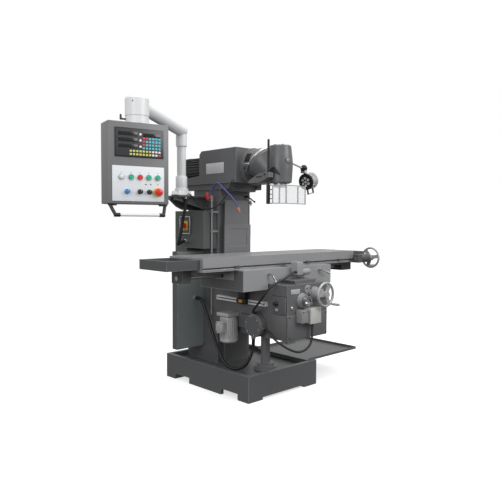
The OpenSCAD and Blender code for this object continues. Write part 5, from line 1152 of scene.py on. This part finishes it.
def fluted_knob(x, sides=60):
    """A moulded knob: a skirt, then a body whose radius ripples twelve times round it, and a flat top with
    a round edge."""
    angle = np.arange(sides) * math.tau / sides
    profile = np.array([
        (0.017, 0), (0.017, 0.004), (0.0150, 0.0055), (0.0144, 0.020), (0.0132, 0.0232), (0.0100, 0.0237),
        (0.0001, 0.0237),
    ])
    ripple = np.array((0, 0, 0.03, 0.03, 0.02, 0, 0))[:, None] * np.cos(12 * angle)[None, :]
    radius = profile[:, 0, None] * (1 + ripple)
    depth = np.broadcast_to((PLATE - 0.0003 - profile[:, 1])[:, None], radius.shape)
    verts = np.stack([x + radius * np.cos(angle), depth, KNOB_ROW + radius * np.sin(angle)], -1)
    return verts.reshape(-1, 3), grid_faces(len(profile), sides)


pointer_half = 0.0009
for x, name, node, body, mat, slot in (
    (speed_x, "speed_knob_grip", "speed_knob", "knob_speed", blue_plastic, "blue"),
    (feed_x, "feed_knob_grip", "feed_knob", "knob_feed", black_plastic, "black_plastic"),
    (mode_x, "selector_grip", "mode_selector", "selector", black_plastic, "black_plastic"),
):
    grip = put(name, on_case(fluted_knob(x)), mat, body)
    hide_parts(node)
    pointer_area = (x - pointer_half, KNOB_ROW + 0.002, x + pointer_half, KNOB_ROW + 0.0125)
    pointer = on_front(*pointer_area, plate_t + 0.0246, plate_t + 0.0238, 0.0003, 1)
    put(name + "_pointer", on_case(pointer), key_white, body)


def printed(x0, z0, x1, z1):
    """A printed mark: a thin slab that stands just proud of the control plate."""
    return on_front(x0, z0, x1, z1, plate_t + 0.0004, plate_t - 0.0002, 0.0002, 1)


dot, dot_circle = 0.0007, 0.0225
prints = []
for knob_x in (speed_x, feed_x):
    for a in np.radians(np.arange(-135, 136, 27)):
        x, z = knob_x + dot_circle * math.sin(a), KNOB_ROW + dot_circle * math.cos(a)
        prints.append(printed(x - dot, z - dot, x + dot, z + dot))
for x in button_x:
    prints.append(printed(x - 0.006, BUTTON_ROW + 0.029, x + 0.006, BUTTON_ROW + 0.0305))
    prints.append(printed(x - 0.0008, BUTTON_ROW + 0.0275, x + 0.0008, BUTTON_ROW + 0.032))
for x in (0.028, 0.062):
    prints.append(printed(x - 0.005, 1.501, x + 0.005, 1.508))
put("panel_marks", on_case(joined(*prints)), black_marks_and_painted_shade, "pendant")

# Handle bar: a white tube under the pendant, by which the operator turns it.
# Two black cast brackets, each a foot plate, a bent leg and a socket, hold it under the case's front edge.
grip_y = CASE_FRONT + 0.022
bar_y, bar_z = grip_y - 0.034, CASE_FOOT - 0.072
socket_shape = [(0, 0), (0.011, 0), (0.013, 0.002), (0.013, 0.038), (0.011, 0.040), (0, 0.040)]
brackets = []
for side in (-1, 1):
    end = CASE_X + side * CASE_HALF
    foot_x = sorted((end - side * 0.060, end - side * 0.006))
    foot_low = (foot_x[0], grip_y - 0.014, CASE_FOOT - 0.012)
    foot_high = (foot_x[1], grip_y + 0.014, CASE_FOOT)
    leg = np.array([
        (end - side * 0.020, grip_y, CASE_FOOT - 0.008),
        (end - side * 0.026, grip_y - 0.008, CASE_FOOT - 0.026),
        (end - side * 0.036, grip_y - 0.024, CASE_FOOT - 0.054),
        (end - side * 0.044, bar_y, bar_z),
    ])
    brackets.append(slab(foot_low, foot_high, 0.003))
    brackets.append(sleeve(smooth_route(leg * 1000, 20), 0.011, 16))
    brackets.append(turned(socket_shape, (end - side * 0.034, bar_y, bar_z), (-side, 0, 0), 24))
holder = put("handle_brackets", on_case(joined(*brackets)), black_plastic, "pendant")
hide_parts("pendant_handle")
bar_half = 0.133
handle_bar = rod(0.010, 2 * bar_half, (CASE_X - bar_half, bar_y, bar_z), RIGHT, 32)
put("handle_bar", on_case(handle_bar), white_coat, "pendant")

low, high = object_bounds()
